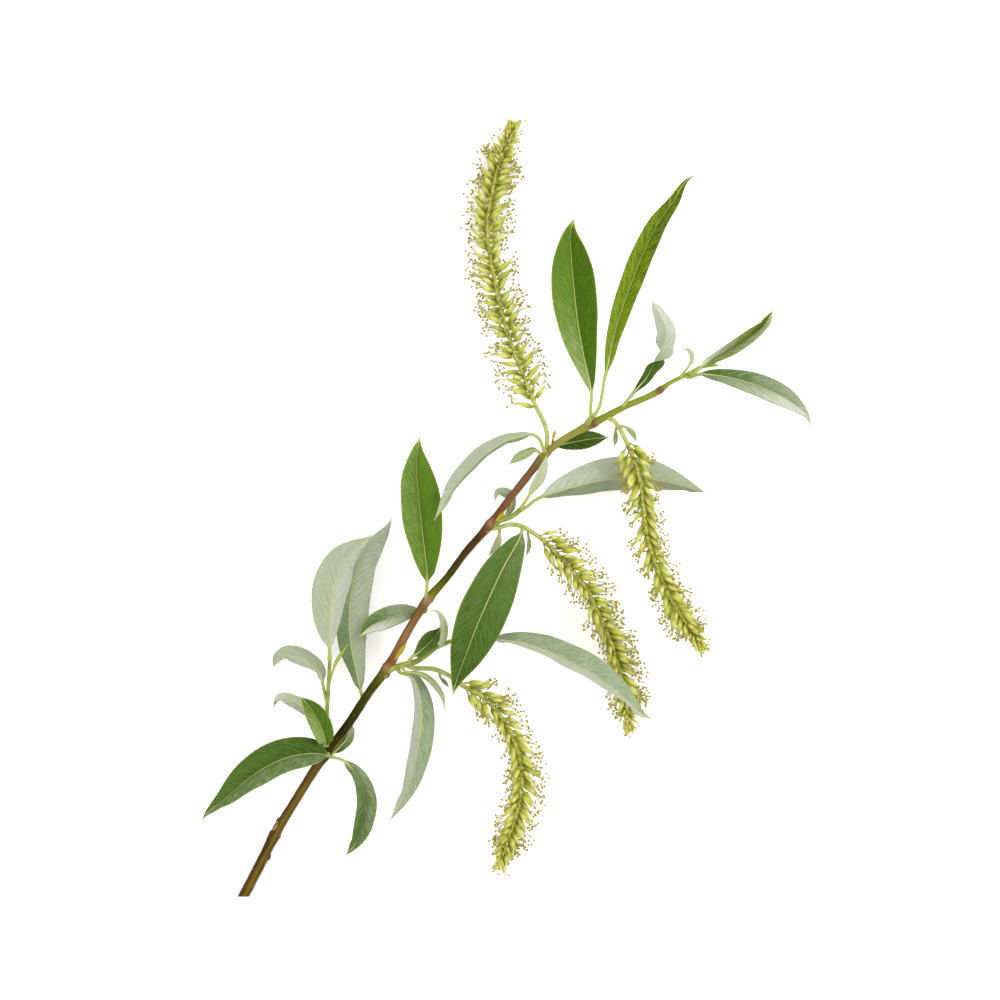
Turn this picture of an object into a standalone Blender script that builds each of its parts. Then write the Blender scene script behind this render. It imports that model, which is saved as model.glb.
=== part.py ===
"""A cut willow branch in spring, with young leaves and four flowering catkins.

It lies on a surface at z = 0. The cut end of its stem, its longest catkin and the tip of
one leaf touch that surface. +Y runs along its length, from the cut end to the top, +Z
points away from the surface, and the origin is under the middle of its bounding box.
Every route below is a short list of points chosen by hand, in millimetres, from the end
that grows out of its host to the tip.
"""

import math
from collections import namedtuple

import bmesh
import bpy
import numpy as np
from mathutils import Vector

MM = 0.001

# Driving dimensions, in millimetres.
SEAT_GAP = 0.3
TRIM_STEP = 0.05
BLADE_THICKNESS = 0.6
STALK_RADIUS = 0.42
TIP_HALF_WIDTH = 0.22
TOOTH_DEPTH_SHARE = 0.07
STATION_PITCH = 3.1
TWIST_PITCH = 1.1
STALK_PITCH = 2.6
RACHIS_PITCH = 4.5
STEM_CUT_Y = -98.5
STEM_RING_PITCH = 4.0
NODE_SWELLING = 0.22
NODE_SWELLING_LENGTH = 1.7
FLORET_LENGTH = 3.1
FLORET_RADIUS = 0.95
ANTHER_RADIUS = 0.33
FILAMENT_RADIUS = 0.13
RACHIS_RADIUS = 0.62
PEDUNCLE_RADIUS = 0.58
FLORET_ROOT_DEPTH = 0.35
CLEAR_OF_SURFACE = 0.8
TIP_LIFT = 0.05

# Sides and counts.
STEM_SIDES = 12
SHOOT_SIDES = 8
RACHIS_SIDES = 6
FLORET_SIDES = 4
DENSE_STEPS = 14
GOLDEN_ANGLE = math.pi * (3.0 - math.sqrt(5.0))

# The origin sits under the middle of the finished branch's bounding box.
SHIFT = Vector((-0.04, 0.57, 0.0))

# The stem's axis with its diameter at each point: x, y, z, diameter.
STEM = [
    (-66.1, -98.5, 1.25, 2.9),
    (-64.2, -94.9, 1.3, 2.9),
    (-62.1, -90.8, 1.9, 2.95),
    (-58.6, -83.3, 4.0, 2.8),
    (-52.6, -73.0, 6.6, 2.6),
    (-46.0, -63.0, 9.0, 2.5),
    (-40.6, -55.8, 10.8, 2.4),
    (-34.1, -45.6, 12.3, 2.3),
    (-30.4, -41.1, 13.0, 2.3),
    (-24.9, -31.6, 14.5, 1.85),
    (-20.4, -23.8, 15.5, 2.0),
    (-15.4, -17.6, 16.0, 1.8),
    (-10.1, -11.8, 16.5, 1.95),
    (-4.4, -5.3, 17.0, 2.0),
    (0.2, 0.7, 17.4, 1.9),
    (4.7, 6.0, 17.7, 1.95),
    (8.4, 11.0, 18.0, 1.9),
    (11.4, 14.5, 18.0, 1.7),
    (15.9, 17.7, 18.0, 1.7),
    (20.2, 20.0, 18.0, 1.6),
    (24.2, 22.0, 17.8, 1.35),
    (29.7, 24.8, 17.5, 1.35),
    (34.7, 26.7, 17.2, 1.4),
    (37.7, 28.2, 17.0, 1.35),
    (40.9, 30.5, 16.7, 1.1),
    (44.4, 32.2, 16.2, 1.0),
    (45.9, 33.0, 16.0, 0.9),
]
# The stem swells where leaves and shoots leave it, and carries two low bud scars.
STEM_NODES_Y = [-83.3, -63.0, -41.1, -23.8, -5.3, 11.0, 20.0, 28.2]
BUD_SCARS = [(-57.5, -80.1), (-59.4, -87.3)]
BUD_SCAR_HEIGHT = 0.45
BUD_SCAR_LENGTH = 1.4

# The side shoots' axes, in the same form.
SHOOTS = {
    "shoot_low": [
        (-44.6, -60.6, 9.9, 1.15),
        (-45.1, -58.6, 10.4, 1.15),
        (-44.9, -51.4, 10.0, 1.1),
        (-44.6, -46.1, 10.5, 1.05),
        (-44.3, -40.8, 12.0, 0.95),
        (-44.2, -38.8, 13.0, 0.9),
    ],
    "shoot_middle": [
        (-29.6, -41.2, 13.4, 1.6),
        (-25.85, -40.05, 13.9, 1.5),
        (-22.6, -39.2, 14.0, 1.4),
        (-19.85, -37.4, 14.2, 1.3),
        (-17.6, -35.7, 14.4, 1.2),
        (-14.7, -34.4, 14.5, 1.1),
    ],
    "shoot_upper": [
        (-3.4, -5.0, 17.1, 1.3),
        (-1.35, -3.9, 17.1, 1.3),
        (0.7, -3.2, 17.0, 1.3),
        (2.3, -2.25, 17.2, 1.3),
        (3.6, -1.0, 17.4, 1.2),
    ],
    "shoot_top": [
        (20.3, 20.4, 18.4, 1.2),
        (20.9, 21.4, 19.5, 1.2),
        (21.7, 22.0, 20.2, 1.2),
    ],
}

# A leaf: its name and host, the half width of its flat blade, how far its left and right
# halves are raised toward the viewer in degrees, how many of its first points are stalk,
# where along the blade it is widest, how far it is twisted halfway, and its route.
Leaf = namedtuple("Leaf", "name host half_width raised stalk widest twist route")

LEAVES = [
    Leaf("leaf_low_left", "main_stem", 5.2, (50, 10), 1, 0.36, 0, [
        (-44.8, -62.3, 10.4), (-45.5, -62.3, 11.6), (-48.6, -62.2, 12.6), (-52.4, -62.7, 13.3),
        (-57.7, -64.4, 14.0), (-64.4, -68.5, 13.5), (-70.2, -73.4, 12.0), (-75.1, -77.4, 10.0),
        (-76.7, -79.6, 8.5)]),
    Leaf("leaf_low_upright", "main_stem", 3.1, (39, 20), 1, 0.5, 0, [
        (-44.4, -61.1, 10.4), (-44.8, -60.4, 11.6), (-45.5, -58.0, 13.6), (-47.1, -53.9, 15.0),
        (-49.2, -50.5, 14.6), (-51.5, -47.9, 14.0)]),
    Leaf("leaf_low_curled", "main_stem", 1.8, (-27, -27), 1, 0.45, 0, [
        (-44.2, -59.9, 8.7), (-47.6, -54.3, 8.4), (-50.4, -51.1, 9.0), (-53.6, -49.1, 9.0),
        (-56.9, -48.3, 8.0), (-58.6, -50.8, 6.5)]),
    Leaf("leaf_low_behind", "main_stem", 2.1, (-18, -40), 1, 0.5, 0, [
        (-44.9, -62.8, 8.0), (-43.4, -62.2, 6.9), (-41.9, -60.8, 6.8), (-40.1, -58.6, 6.8),
        (-39.4, -56.0, 6.5), (-39.9, -54.3, 6.2)]),
    Leaf("leaf_low_right", "main_stem", 3.3, (20, 55), 2, 0.5, 0, [
        (-44.9, -63.2, 9.8), (-43.0, -63.3, 10.8), (-41.0, -63.9, 11.0), (-38.9, -65.8, 11.0),
        (-36.7, -68.9, 11.0), (-35.6, -72.9, 10.0), (-36.0, -78.3, 8.0), (-37.4, -83.6, 6.0),
        (-38.9, -86.3, 5.0), (-40.5, -88.4, 4.5)]),
    Leaf("leaf_low_tall", "shoot_low", 5.4, (13, -49), 1, 0.5, 0, [
        (-44.2, -38.6, 13.1), (-44.2, -36.2, 13.5), (-44.0, -26.8, 15.0), (-42.7, -19.5, 16.0),
        (-40.8, -14.7, 16.0), (-37.8, -11.1, 15.0), (-35.2, -8.9, 14.5), (-33.7, -7.6, 14.0)]),
    Leaf("leaf_low_tall_back", "main_stem", 4.9, (-35, -16), 1, 0.52, 0, [
        (-36.2, -48.3, 10.6), (-36.4, -47.2, 9.6), (-37.5, -42.0, 8.1), (-38.8, -35.8, 8.0),
        (-39.2, -29.8, 8.0), (-39.0, -24.6, 8.2), (-38.2, -19.5, 8.6), (-36.5, -14.7, 9.0),
        (-33.4, -10.4, 9.0), (-30.0, -6.1, 9.0), (-28.6, -3.3, 9.0)]),
    Leaf("young_leaf_low", "shoot_low", 0.65, (-20, -20), 1, 0.5, 0, [
        (-44.4, -45.4, 10.6), (-43.7, -42.6, 11.6), (-42.7, -39.6, 12.6), (-41.6, -37.8, 13.0),
        (-39.6, -34.8, 13.2)]),
    Leaf("leaf_low_arched", "shoot_low", 3.0, (-62, -15), 2, 0.5, 0, [
        (-45.0, -49.2, 10.0), (-45.8, -46.1, 9.2), (-46.1, -44.5, 9.0), (-46.6, -42.2, 8.8),
        (-48.0, -40.7, 9.0), (-49.9, -39.6, 9.6), (-53.0, -38.2, 10.0), (-55.1, -37.7, 10.0),
        (-57.1, -38.3, 9.4), (-58.5, -40.8, 8.2)]),
    Leaf("leaf_mid_left", "main_stem", 3.1, (42, 15), 2, 0.5, 0, [
        (-20.9, -25.3, 14.6), (-20.0, -26.5, 13.2), (-21.2, -27.0, 12.2), (-23.0, -26.9, 11.6),
        (-25.2, -27.1, 11.4), (-28.1, -28.0, 11.4), (-30.9, -29.1, 11.2), (-32.9, -29.8, 11.0),
        (-35.4, -31.6, 11.0), (-36.9, -33.1, 11.0)]),
    Leaf("leaf_mid_upright", "main_stem", 5.7, (38, 15), 2, 0.5, 0, [
        (-20.4, -23.6, 16.0), (-19.9, -21.3, 17.2), (-19.8, -19.8, 17.4), (-19.8, -18.3, 17.4),
        (-20.3, -12.7, 17.2), (-20.9, -7.8, 17.0), (-21.5, -2.5, 17.0), (-22.0, 2.4, 16.5),
        (-22.4, 7.2, 15.5), (-22.4, 12.3, 14.0), (-21.7, 17.0, 12.0)]),
    Leaf("leaf_fold_left", "main_stem", 2.7, (-70, -22), 3, 0.5, 0, [
        (9.8, 13.0, 18.3), (9.0, 14.6, 19.6), (8.2, 16.4, 20.6), (6.6, 17.5, 21.5),
        (2.8, 16.8, 23.0), (-0.3, 15.8, 24.0), (-3.1, 14.2, 24.5), (-6.2, 12.0, 24.8),
        (-8.7, 9.5, 24.6), (-11.3, 6.7, 24.0), (-13.3, 4.2, 23.4), (-15.3, 0.9, 22.8),
        (-18.0, -3.9, 22.0)]),
    Leaf("young_leaf_crown", "main_stem", 1.2, (-33, -23), 1, 0.5, 0, [
        (8.9, 11.9, 18.2), (8.0, 13.2, 18.4), (7.1, 13.7, 18.5), (4.9, 12.8, 18.6),
        (2.9, 11.8, 18.4), (0.5, 10.0, 18.0)]),
    Leaf("leaf_hook_back", "shoot_upper", 1.3, (-25, -25), 1, 0.5, 0, [
        (-1.2, -3.7, 16.4), (-0.4, -2.9, 15.2), (1.2, -0.6, 14.4), (0.4, 2.7, 14.2),
        (-2.1, 3.2, 14.2), (-3.0, 0.7, 14.4)]),
    Leaf("leaf_hook_front", "shoot_upper", 1.3, (-32, -32), 1, 0.5, 0, [
        (3.6, -1.0, 17.8), (5.5, 2.1, 19.2), (7.1, 4.8, 20.5), (8.1, 6.2, 20.9),
        (9.3, 9.2, 21.0), (10.2, 12.7, 20.9)]),
    Leaf("leaf_long_right", "shoot_upper", 5.5, (-15, -57), 3, 0.5, 0, [
        (2.5, -2.1, 16.9), (5.5, -0.2, 15.8), (7.1, 1.1, 15.4), (8.4, 1.8, 15.0),
        (14.1, 3.8, 13.6), (20.4, 5.5, 12.0), (24.5, 6.3, 11.0), (28.7, 6.8, 10.4),
        (32.8, 6.8, 10.0), (38.4, 6.2, 9.2), (44.2, 4.8, 8.4), (50.2, 3.1, 7.4)]),
    Leaf("leaf_crown_back", "main_stem", 2.5, (28, 28), 1, 0.5, 0, [
        (11.0, 13.9, 17.0), (12.6, 14.6, 15.8), (14.7, 15.2, 15.4), (18.4, 16.0, 15.0),
        (22.2, 16.6, 14.8), (25.5, 16.8, 14.5)]),
    Leaf("leaf_large_front", "catkin_middle", 6.2, (23, 23), 1, 0.5, 0, [
        (4.1, -5.2, 17.6), (3.9, -6.4, 18.8), (3.4, -8.0, 19.6), (1.4, -11.7, 20.4),
        (-0.3, -14.7, 21.0), (-4.2, -22.9, 22.0), (-7.6, -30.7, 22.5), (-10.2, -37.6, 22.2),
        (-12.4, -43.6, 21.2), (-13.4, -47.5, 20.2)]),
    Leaf("young_leaf_upper_low", "catkin_middle", 0.95, (-25, -25), 1, 0.5, 0, [
        (-1.6, -5.7, 16.4), (-1.7, -6.7, 15.4), (-1.8, -7.8, 15.2), (-2.4, -10.1, 14.9),
        (-4.5, -12.8, 14.4)]),
    Leaf("leaf_arching_right", "shoot_middle", 4.7, (-17, -72), 3, 0.5, 0, [
        (-14.8, -34.4, 14.5), (-12.2, -33.6, 14.4), (-9.4, -33.2, 14.8), (-4.1, -33.1, 16.0),
        (-2.1, -33.5, 16.6), (4.1, -34.5, 18.0), (9.9, -36.5, 19.4), (15.8, -39.4, 20.4),
        (20.7, -41.9, 20.8), (25.7, -45.2, 20.8), (29.9, -48.6, 20.4), (34.0, -52.3, 19.6),
        (36.7, -53.6, 19.0)]),
    Leaf("leaf_middle_upper", "shoot_middle", 2.4, (16, 45), 1, 0.5, 0, [
        (-24.7, -39.5, 14.4), (-23.2, -37.7, 16.0), (-21.7, -36.8, 16.3), (-20.1, -35.3, 16.0),
        (-18.5, -33.6, 15.2), (-17.2, -32.1, 14.4), (-16.4, -30.3, 13.9)]),
    Leaf("leaf_middle_curled", "shoot_middle", 1.2, (-24, -24), 1, 0.4, 0, [
        (-17.3, -35.8, 14.8), (-16.7, -35.5, 16.6), (-15.8, -33.6, 18.4), (-15.5, -30.8, 19.3),
        (-16.2, -28.1, 19.2), (-17.6, -26.4, 18.6), (-19.1, -26.6, 18.0)]),
    Leaf("leaf_middle_drooping", "shoot_middle", 3.7, (-19, -57), 2, 0.45, 0, [
        (-27.4, -40.7, 13.3), (-26.6, -42.0, 12.6), (-25.2, -42.4, 12.4), (-23.6, -43.0, 12.4),
        (-22.2, -45.6, 12.4), (-21.5, -48.8, 12.2), (-21.3, -54.2, 11.6), (-22.0, -59.5, 10.6),
        (-22.9, -64.0, 9.6), (-24.0, -68.5, 8.6), (-26.0, -73.8, 7.6), (-29.5, -79.8, 6.5)]),
    Leaf("leaf_middle_narrow", "shoot_middle", 0.8, (-20, -20), 1, 0.5, 0, [
        (-26.2, -40.5, 14.2), (-25.4, -41.6, 15.2), (-22.7, -42.0, 15.8), (-20.7, -42.6, 15.8),
        (-19.0, -43.8, 15.4), (-17.4, -45.6, 14.8), (-15.9, -48.1, 14.0), (-15.5, -51.3, 13.0)]),
    Leaf("leaf_top_left", "shoot_top", 5.9, (18, 23), 2, 0.57, 0, [
        (21.0, 21.5, 19.7), (21.0, 24.0, 20.4), (21.2, 27.2, 20.9), (20.7, 30.8, 21.2),
        (19.3, 37.1, 21.8), (17.9, 44.7, 22.0), (16.9, 53.3, 21.5), (16.2, 61.9, 20.0),
        (16.0, 68.0, 18.4), (16.8, 71.6, 17.4)]),
    Leaf("leaf_top_long", "shoot_top", 3.1, (23, 33), 3, 0.5, 0, [
        (21.7, 22.0, 20.2), (23.0, 24.0, 20.4), (23.9, 27.8, 20.4), (24.5, 31.6, 20.4),
        (24.8, 32.8, 20.4), (27.4, 44.2, 20.4), (30.8, 54.3, 20.0), (34.1, 62.6, 19.0),
        (37.5, 69.6, 17.5), (41.8, 75.8, 15.5), (45.6, 81.5, 13.6), (48.0, 82.9, 13.0)]),
    Leaf("leaf_top_twisted", "main_stem", 2.9, (42, 42), 1, 0.55, 180, [
        (29.0, 24.6, 17.7), (30.6, 26.6, 18.6), (32.8, 29.2, 19.2), (35.0, 31.8, 20.0),
        (37.3, 35.6, 20.5), (38.8, 40.0, 20.5), (39.4, 42.7, 20.2), (38.4, 46.7, 19.6),
        (36.1, 50.9, 19.0)]),
    Leaf("young_leaf_top", "main_stem", 0.65, (-20, -20), 1, 0.5, 0, [
        (43.3, 31.9, 16.6), (45.2, 34.2, 18.0), (46.3, 36.2, 18.4), (46.0, 38.0, 18.4),
        (45.1, 38.8, 18.2), (43.7, 38.7, 18.0)]),
    Leaf("leaf_apex_up", "main_stem", 2.9, (55, 55), 2, 0.5, 0, [
        (45.7, 32.8, 16.2), (46.4, 32.6, 17.4), (48.2, 34.0, 18.4), (51.6, 36.3, 19.0),
        (55.6, 38.6, 19.2), (60.6, 41.9, 19.0), (64.6, 45.3, 17.8), (66.7, 48.8, 16.4)]),
    Leaf("leaf_apex_right", "main_stem", 3.2, (22, 32), 2, 0.5, 0, [
        (44.5, 32.0, 15.9), (46.0, 31.8, 15.2), (47.8, 32.5, 15.2), (52.2, 32.4, 14.8),
        (56.8, 31.6, 13.6), (62.8, 29.9, 10.4), (68.4, 27.6, 6.6), (72.6, 25.1, 3.4),
        (75.4, 22.6, 1.2), (76.8, 19.8, 0.2)]),
    Leaf("young_leaf_apex", "main_stem", 0.5, (0, 0), 1, 0.5, 0, [
        (45.9, 33.0, 16.0), (47.0, 33.8, 16.0), (50.8, 34.9, 16.4), (53.7, 34.6, 16.4)]),
    Leaf("bract_top_left", "catkin_right", 0.6, (0, 0), 1, 0.5, 0, [
        (27.9, 19.8, 17.6), (27.3, 18.8, 16.6), (27.3, 17.0, 16.3), (27.0, 14.5, 16.2)]),
    Leaf("bract_top_right", "catkin_right", 0.7, (0, 0), 1, 0.5, 0, [
        (28.1, 19.6, 17.9), (29.5, 19.5, 18.9), (30.8, 18.6, 19.0), (31.9, 17.2, 19.0),
        (32.3, 15.7, 18.9)]),
    Leaf("bract_middle", "catkin_low", 0.5, (0, 0), 1, 0.5, 0, [
        (-16.8, -41.7, 13.4), (-16.6, -43.0, 12.6), (-15.4, -44.4, 12.2), (-14.4, -45.6, 12.2)]),
    Leaf("bract_upper", "catkin_middle", 0.55, (0, 0), 1, 0.5, 0, [
        (5.4, -6.2, 16.9), (5.4, -7.4, 16.0), (5.7, -9.3, 15.7), (5.5, -11.1, 15.5),
        (4.9, -12.9, 15.4)]),
    Leaf("bud_scale_middle", "main_stem", 0.6, (0, 0), 1, 0.5, 0, [
        (-29.4, -40.2, 14.2), (-27.8, -38.5, 15.2), (-26.3, -36.4, 15.7), (-24.9, -34.3, 16.0)]),
    Leaf("bud_scale_upper", "main_stem", 0.5, (0, 0), 1, 0.5, 0, [
        (-3.6, -5.2, 17.9), (-2.6, -4.0, 18.8), (-1.4, -2.8, 19.0), (-0.4, -1.4, 19.1)]),
    Leaf("bud_scale_crown", "main_stem", 0.4, (0, 0), 1, 0.5, 0, [
        (11.4, 14.7, 18.2), (11.6, 16.2, 18.4), (12.2, 18.7, 18.6)]),
]

# A catkin: its name and host, the number of florets, how far they lean from the axis at
# its base and at its tip in degrees, how far its anthers reach from the axis in the
# middle, how many of its first points are the stalk, how close it comes to the surface,
# and its route.
Catkin = namedtuple("Catkin", "name host florets lean reach stalk floor route")

CATKINS = [
    Catkin("catkin_top", "main_stem", 38, (66, 56), 6.2, 3, 0.0, [
        (9.9, 12.6, 17.7), (10.2, 16.7, 17.8), (9.35, 20.5, 17.9), (7.5, 24.2, 18.0),
        (5.8, 28.7, 17.6), (2.3, 37.0, 15.4), (-1.2, 48.9, 11.4), (-3.7, 60.3, 8.0),
        (-4.7, 71.2, 6.0), (-3.3, 80.0, 5.2), (-0.4, 89.7, 4.8), (2.6, 96.9, 4.8)]),
    Catkin("catkin_low", "shoot_middle", 38, (42, 38), 5.3, 5, CLEAR_OF_SURFACE, [
        (-24.6, -40.1, 13.6), (-23.3, -40.9, 12.8), (-21.1, -40.9, 12.9), (-18.5, -41.0, 13.2),
        (-14.8, -42.4, 13.2), (-11.6, -44.8, 13.0), (-5.1, -48.8, 12.2), (-0.2, -54.6, 11.2),
        (3.1, -62.6, 10.2), (3.9, -67.1, 9.7), (2.9, -75.9, 8.8), (0.0, -85.1, 7.8),
        (-2.0, -91.8, 7.2)]),
    Catkin("catkin_middle", "main_stem", 38, (44, 38), 6.0, 5, CLEAR_OF_SURFACE, [
        (-3.9, -5.9, 16.9), (-1.5, -5.6, 16.6), (0.4, -5.0, 16.6), (2.3, -4.9, 16.8),
        (4.4, -5.6, 17.0), (7.75, -7.7, 16.8), (12.4, -12.1, 15.8), (18.7, -19.1, 13.6),
        (23.2, -27.3, 11.2), (26.7, -36.1, 9.2), (29.0, -44.4, 8.4), (30.4, -52.7, 8.2),
        (30.4, -57.5, 8.2)]),
    Catkin("catkin_right", "main_stem", 38, (42, 38), 5.0, 4, CLEAR_OF_SURFACE, [
        (24.6, 22.0, 17.8), (26.75, 21.0, 17.8), (27.9, 19.6, 17.8), (29.0, 17.8, 17.9),
        (30.1, 15.5, 18.0), (32.9, 7.9, 18.0), (34.2, 0.4, 17.6), (35.4, -9.0, 16.4),
        (38.7, -18.2, 14.8), (42.9, -26.5, 13.0), (47.9, -33.9, 11.0), (49.7, -36.8, 10.2)]),
]

# Colour and roughness of each kind of piece.
FINISHES = {
    "bark": ((0.20, 0.10, 0.04), 0.65),
    "shoot": ((0.33, 0.40, 0.11), 0.6),
    "leaf": ((0.10, 0.22, 0.05), 0.5),
    "scale": ((0.42, 0.36, 0.09), 0.6),
    "catkin": ((0.52, 0.48, 0.10), 0.8),
}


class Route:
    """A smooth curve through hand-placed points, read by its length from the start."""

    def __init__(self, points, diameters=None):
        points = np.array(points, dtype=float)
        knots = run_lengths(points)
        slopes = np.gradient(points, knots, axis=0)
        share = np.linspace(0.0, 1.0, DENSE_STEPS, endpoint=False)[:, None]
        spans = []
        for i, width in enumerate(np.diff(knots)):
            start = 2 * share**3 - 3 * share**2 + 1
            leave = (share**3 - 2 * share**2 + share) * width
            end = 3 * share**2 - 2 * share**3
            arrive = (share**3 - share**2) * width
            spans.append(start * points[i] + leave * slopes[i] + end * points[i + 1] + arrive * slopes[i + 1])
        self.dense = np.vstack(spans + [points[-1:]])
        self.lengths = run_lengths(self.dense)
        self.length = self.lengths[-1]
        self.knots = self.lengths[::DENSE_STEPS]
        self.diameters = diameters

    def at(self, s):
        """The point at length s."""
        return np.array([np.interp(s, self.lengths, self.dense[:, axis]) for axis in range(3)])

    def frame(self, s, turn=0.0):
        """The forward, left and upward directions at length s, turned about the route."""
        step = 0.4
        forward = unit(self.at(min(s + step, self.length)) - self.at(max(s - step, 0.0)))
        left = unit(np.cross((0.0, 0.0, 1.0), forward))
        up = np.cross(forward, left)
        turned = math.cos(turn) * left + math.sin(turn) * up
        return forward, turned, np.cross(forward, turned)

    def radius(self, s):
        """The radius at length s."""
        return 0.5 * np.interp(s, self.knots, self.diameters)


def run_lengths(points):
    """The length along a row of points, at each point."""
    steps = np.linalg.norm(np.diff(points, axis=0), axis=1)
    return np.concatenate(([0.0], np.cumsum(steps)))


def unit(vector):
    """A vector of length one."""
    return np.asarray(vector) / np.linalg.norm(vector)


def polygon(centre, frame, radius, sides, offset=0.0):
    """The corners of a regular polygon across a route."""
    _, left, up = frame
    angles = [offset + 2 * math.pi * i / sides for i in range(sides)]
    return [centre + radius * (math.cos(angle) * left + math.sin(angle) * up) for angle in angles]


def clear_start(route, radius, host, sides):
    """The length at which a piece may start, with its first ring the seat gap off its host."""
    points, radii = host
    s = 0.0
    while True:
        ring = np.array(polygon(route.at(s), route.frame(s), radius, sides))
        apart = np.linalg.norm(ring[:, None, :] - points[None, :, :], axis=2) - radii[None, :]
        if apart.min() >= SEAT_GAP:
            return s
        s += TRIM_STEP


def loft(rings, flipped=()):
    """A closed mesh over a row of rings. Columns in flipped are split the other way."""
    shape = bmesh.new()
    rows = [[shape.verts.new(Vector(point) * MM) for point in ring] for ring in rings]
    for near, far in zip(rows, rows[1:]):
        for i in range(len(near)):
            j = (i + 1) % len(near)
            if i in flipped:
                shape.faces.new((near[i], near[j], far[i]))
                shape.faces.new((near[j], far[j], far[i]))
            else:
                shape.faces.new((near[i], near[j], far[j]))
                shape.faces.new((near[i], far[j], far[i]))
    caps = [shape.faces.new(list(reversed(rows[0]))), shape.faces.new(rows[-1])]
    bmesh.ops.triangulate(shape, faces=caps)
    return shape


def finish_object(name, shape, origin, material, parent, sharp_degrees=45):
    """Makes the named object, with its own origin where it grows out of its host."""
    base = Vector(origin) * MM
    bmesh.ops.translate(shape, vec=-base, verts=shape.verts)
    mesh = bpy.data.meshes.new(name)
    shape.to_mesh(mesh)
    shape.free()
    mesh.shade_smooth()
    mesh.set_sharp_from_angle(angle=math.radians(sharp_degrees))
    mesh.materials.append(material)
    item = bpy.data.objects.new(name, mesh)
    item.parent = parent
    item.location = base
    bpy.context.scene.collection.objects.link(item)
    return item


def make_material(name):
    """One Principled material from the table of finishes."""
    colour, roughness = FINISHES[name]
    material = bpy.data.materials.new(name)
    material.use_nodes = True
    shader = material.node_tree.nodes["Principled BSDF"]
    shader.inputs["Base Color"].default_value = (*colour, 1.0)
    shader.inputs["Roughness"].default_value = roughness
    shader.inputs["Metallic"].default_value = 0.0
    return material


def stem_radius(route, s):
    """The stem's radius, with the swellings at its nodes."""
    y = route.at(s)[1]
    swelling = 0.0
    for node_y in STEM_NODES_Y:
        swelling += NODE_SWELLING * math.exp(-(((y - node_y) / NODE_SWELLING_LENGTH) ** 2))
    return route.radius(s) + swelling * min(1.0, route.radius(s))


def ring_lengths(route, pitch, extra=()):
    """Where a tube's rings stand: evenly, and at the extra lengths."""
    count = max(2, round(route.length / pitch))
    even = list(np.linspace(0.0, route.length, count + 1))
    kept = [s for s in even if all(abs(s - other) > pitch / 3 for other in extra)]
    return sorted(kept + list(extra))


def make_stem(material, parent):
    """The woody stem, cut across at its low end, flat where it rests on the surface."""
    route = Route([row[:3] for row in STEM], [row[3] for row in STEM])
    nodes = [route.lengths[np.abs(route.dense[:, 1] - y).argmin()] for y in STEM_NODES_Y]
    rings = []
    for s in ring_lengths(route, STEM_RING_PITCH, nodes):
        ring = polygon(route.at(s), route.frame(s), stem_radius(route, s), STEM_SIDES, math.radians(15))
        if s == 0.0:
            forward = route.frame(0.0)[0]
            ring = [point + forward * ((STEM_CUT_Y - point[1]) / forward[1]) for point in ring]
        rings.append([raise_scar(point, route.at(s)) for point in ring])
    rings = [[(x, y, max(z, 0.0)) for x, y, z in ring] for ring in rings]
    finish_object("main_stem", loft(rings), STEM[0][:3], material, parent)
    return route.dense, np.array([stem_radius(route, s) for s in route.lengths])


def raise_scar(point, centre):
    """Lifts the stem's surface into a low bump where a bud was."""
    lift = 0.0
    for x, y in BUD_SCARS:
        lift += BUD_SCAR_HEIGHT * math.exp(-(math.hypot(point[0] - x, point[1] - y) / BUD_SCAR_LENGTH) ** 2)
    return point + lift * unit(point - centre)


def make_shoot(name, host, material, parent):
    """A side shoot: a thin tapering tube."""
    rows = SHOOTS[name]
    route = Route([row[:3] for row in rows], [row[3] for row in rows])
    start = clear_start(route, route.radius(0.0), host, SHOOT_SIDES)
    count = max(3, round((route.length - start) / STALK_PITCH))
    rings = []
    for s in np.linspace(start, route.length, count + 1):
        rings.append(polygon(route.at(s), route.frame(s), route.radius(s), SHOOT_SIDES))
    finish_object(name, loft(rings), route.at(start), material, parent)
    return route.dense, np.array([route.radius(s) for s in route.lengths])


def blade_width(u, widest):
    """A willow blade's half width at the share u of its length, as a share of its widest."""
    phase = u ** (math.log(0.5) / math.log(widest))
    power = 0.73 + max(0.0, u - widest)
    return math.sin(math.pi * min(phase, 1.0)) ** power if 0.0 < u < 1.0 else 0.0


def blade_ring(centre, frame, half_width, half_thickness, raised):
    """Six corners across a blade: top edge, rib and edge, then the same below."""
    _, left, up = frame
    fold = min(1.0, max(0.0, (half_width - 0.4) / 1.4))
    left_angle = math.radians(raised[0]) * fold
    right_angle = math.radians(raised[1]) * fold
    left_out = math.cos(left_angle) * left + math.sin(left_angle) * up
    left_up = -math.sin(left_angle) * left + math.cos(left_angle) * up
    right_out = -math.cos(right_angle) * left + math.sin(right_angle) * up
    right_up = math.sin(right_angle) * left + math.cos(right_angle) * up
    rib_up = unit(left_up + right_up) / max(0.6, math.cos((left_angle + right_angle) / 2))
    left_edge = centre + half_width * left_out
    right_edge = centre + half_width * right_out
    top = [left_edge + half_thickness * left_up, centre + half_thickness * rib_up,
           right_edge + half_thickness * right_up]
    below = [right_edge - half_thickness * right_up, centre - half_thickness * rib_up,
             left_edge - half_thickness * left_up]
    return top + below


def smooth_step(value, low, high):
    """Rises from 0 at low to 1 at high."""
    share = min(1.0, max(0.0, (value - low) / (high - low)))
    return share * share * (3 - 2 * share)


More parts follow.
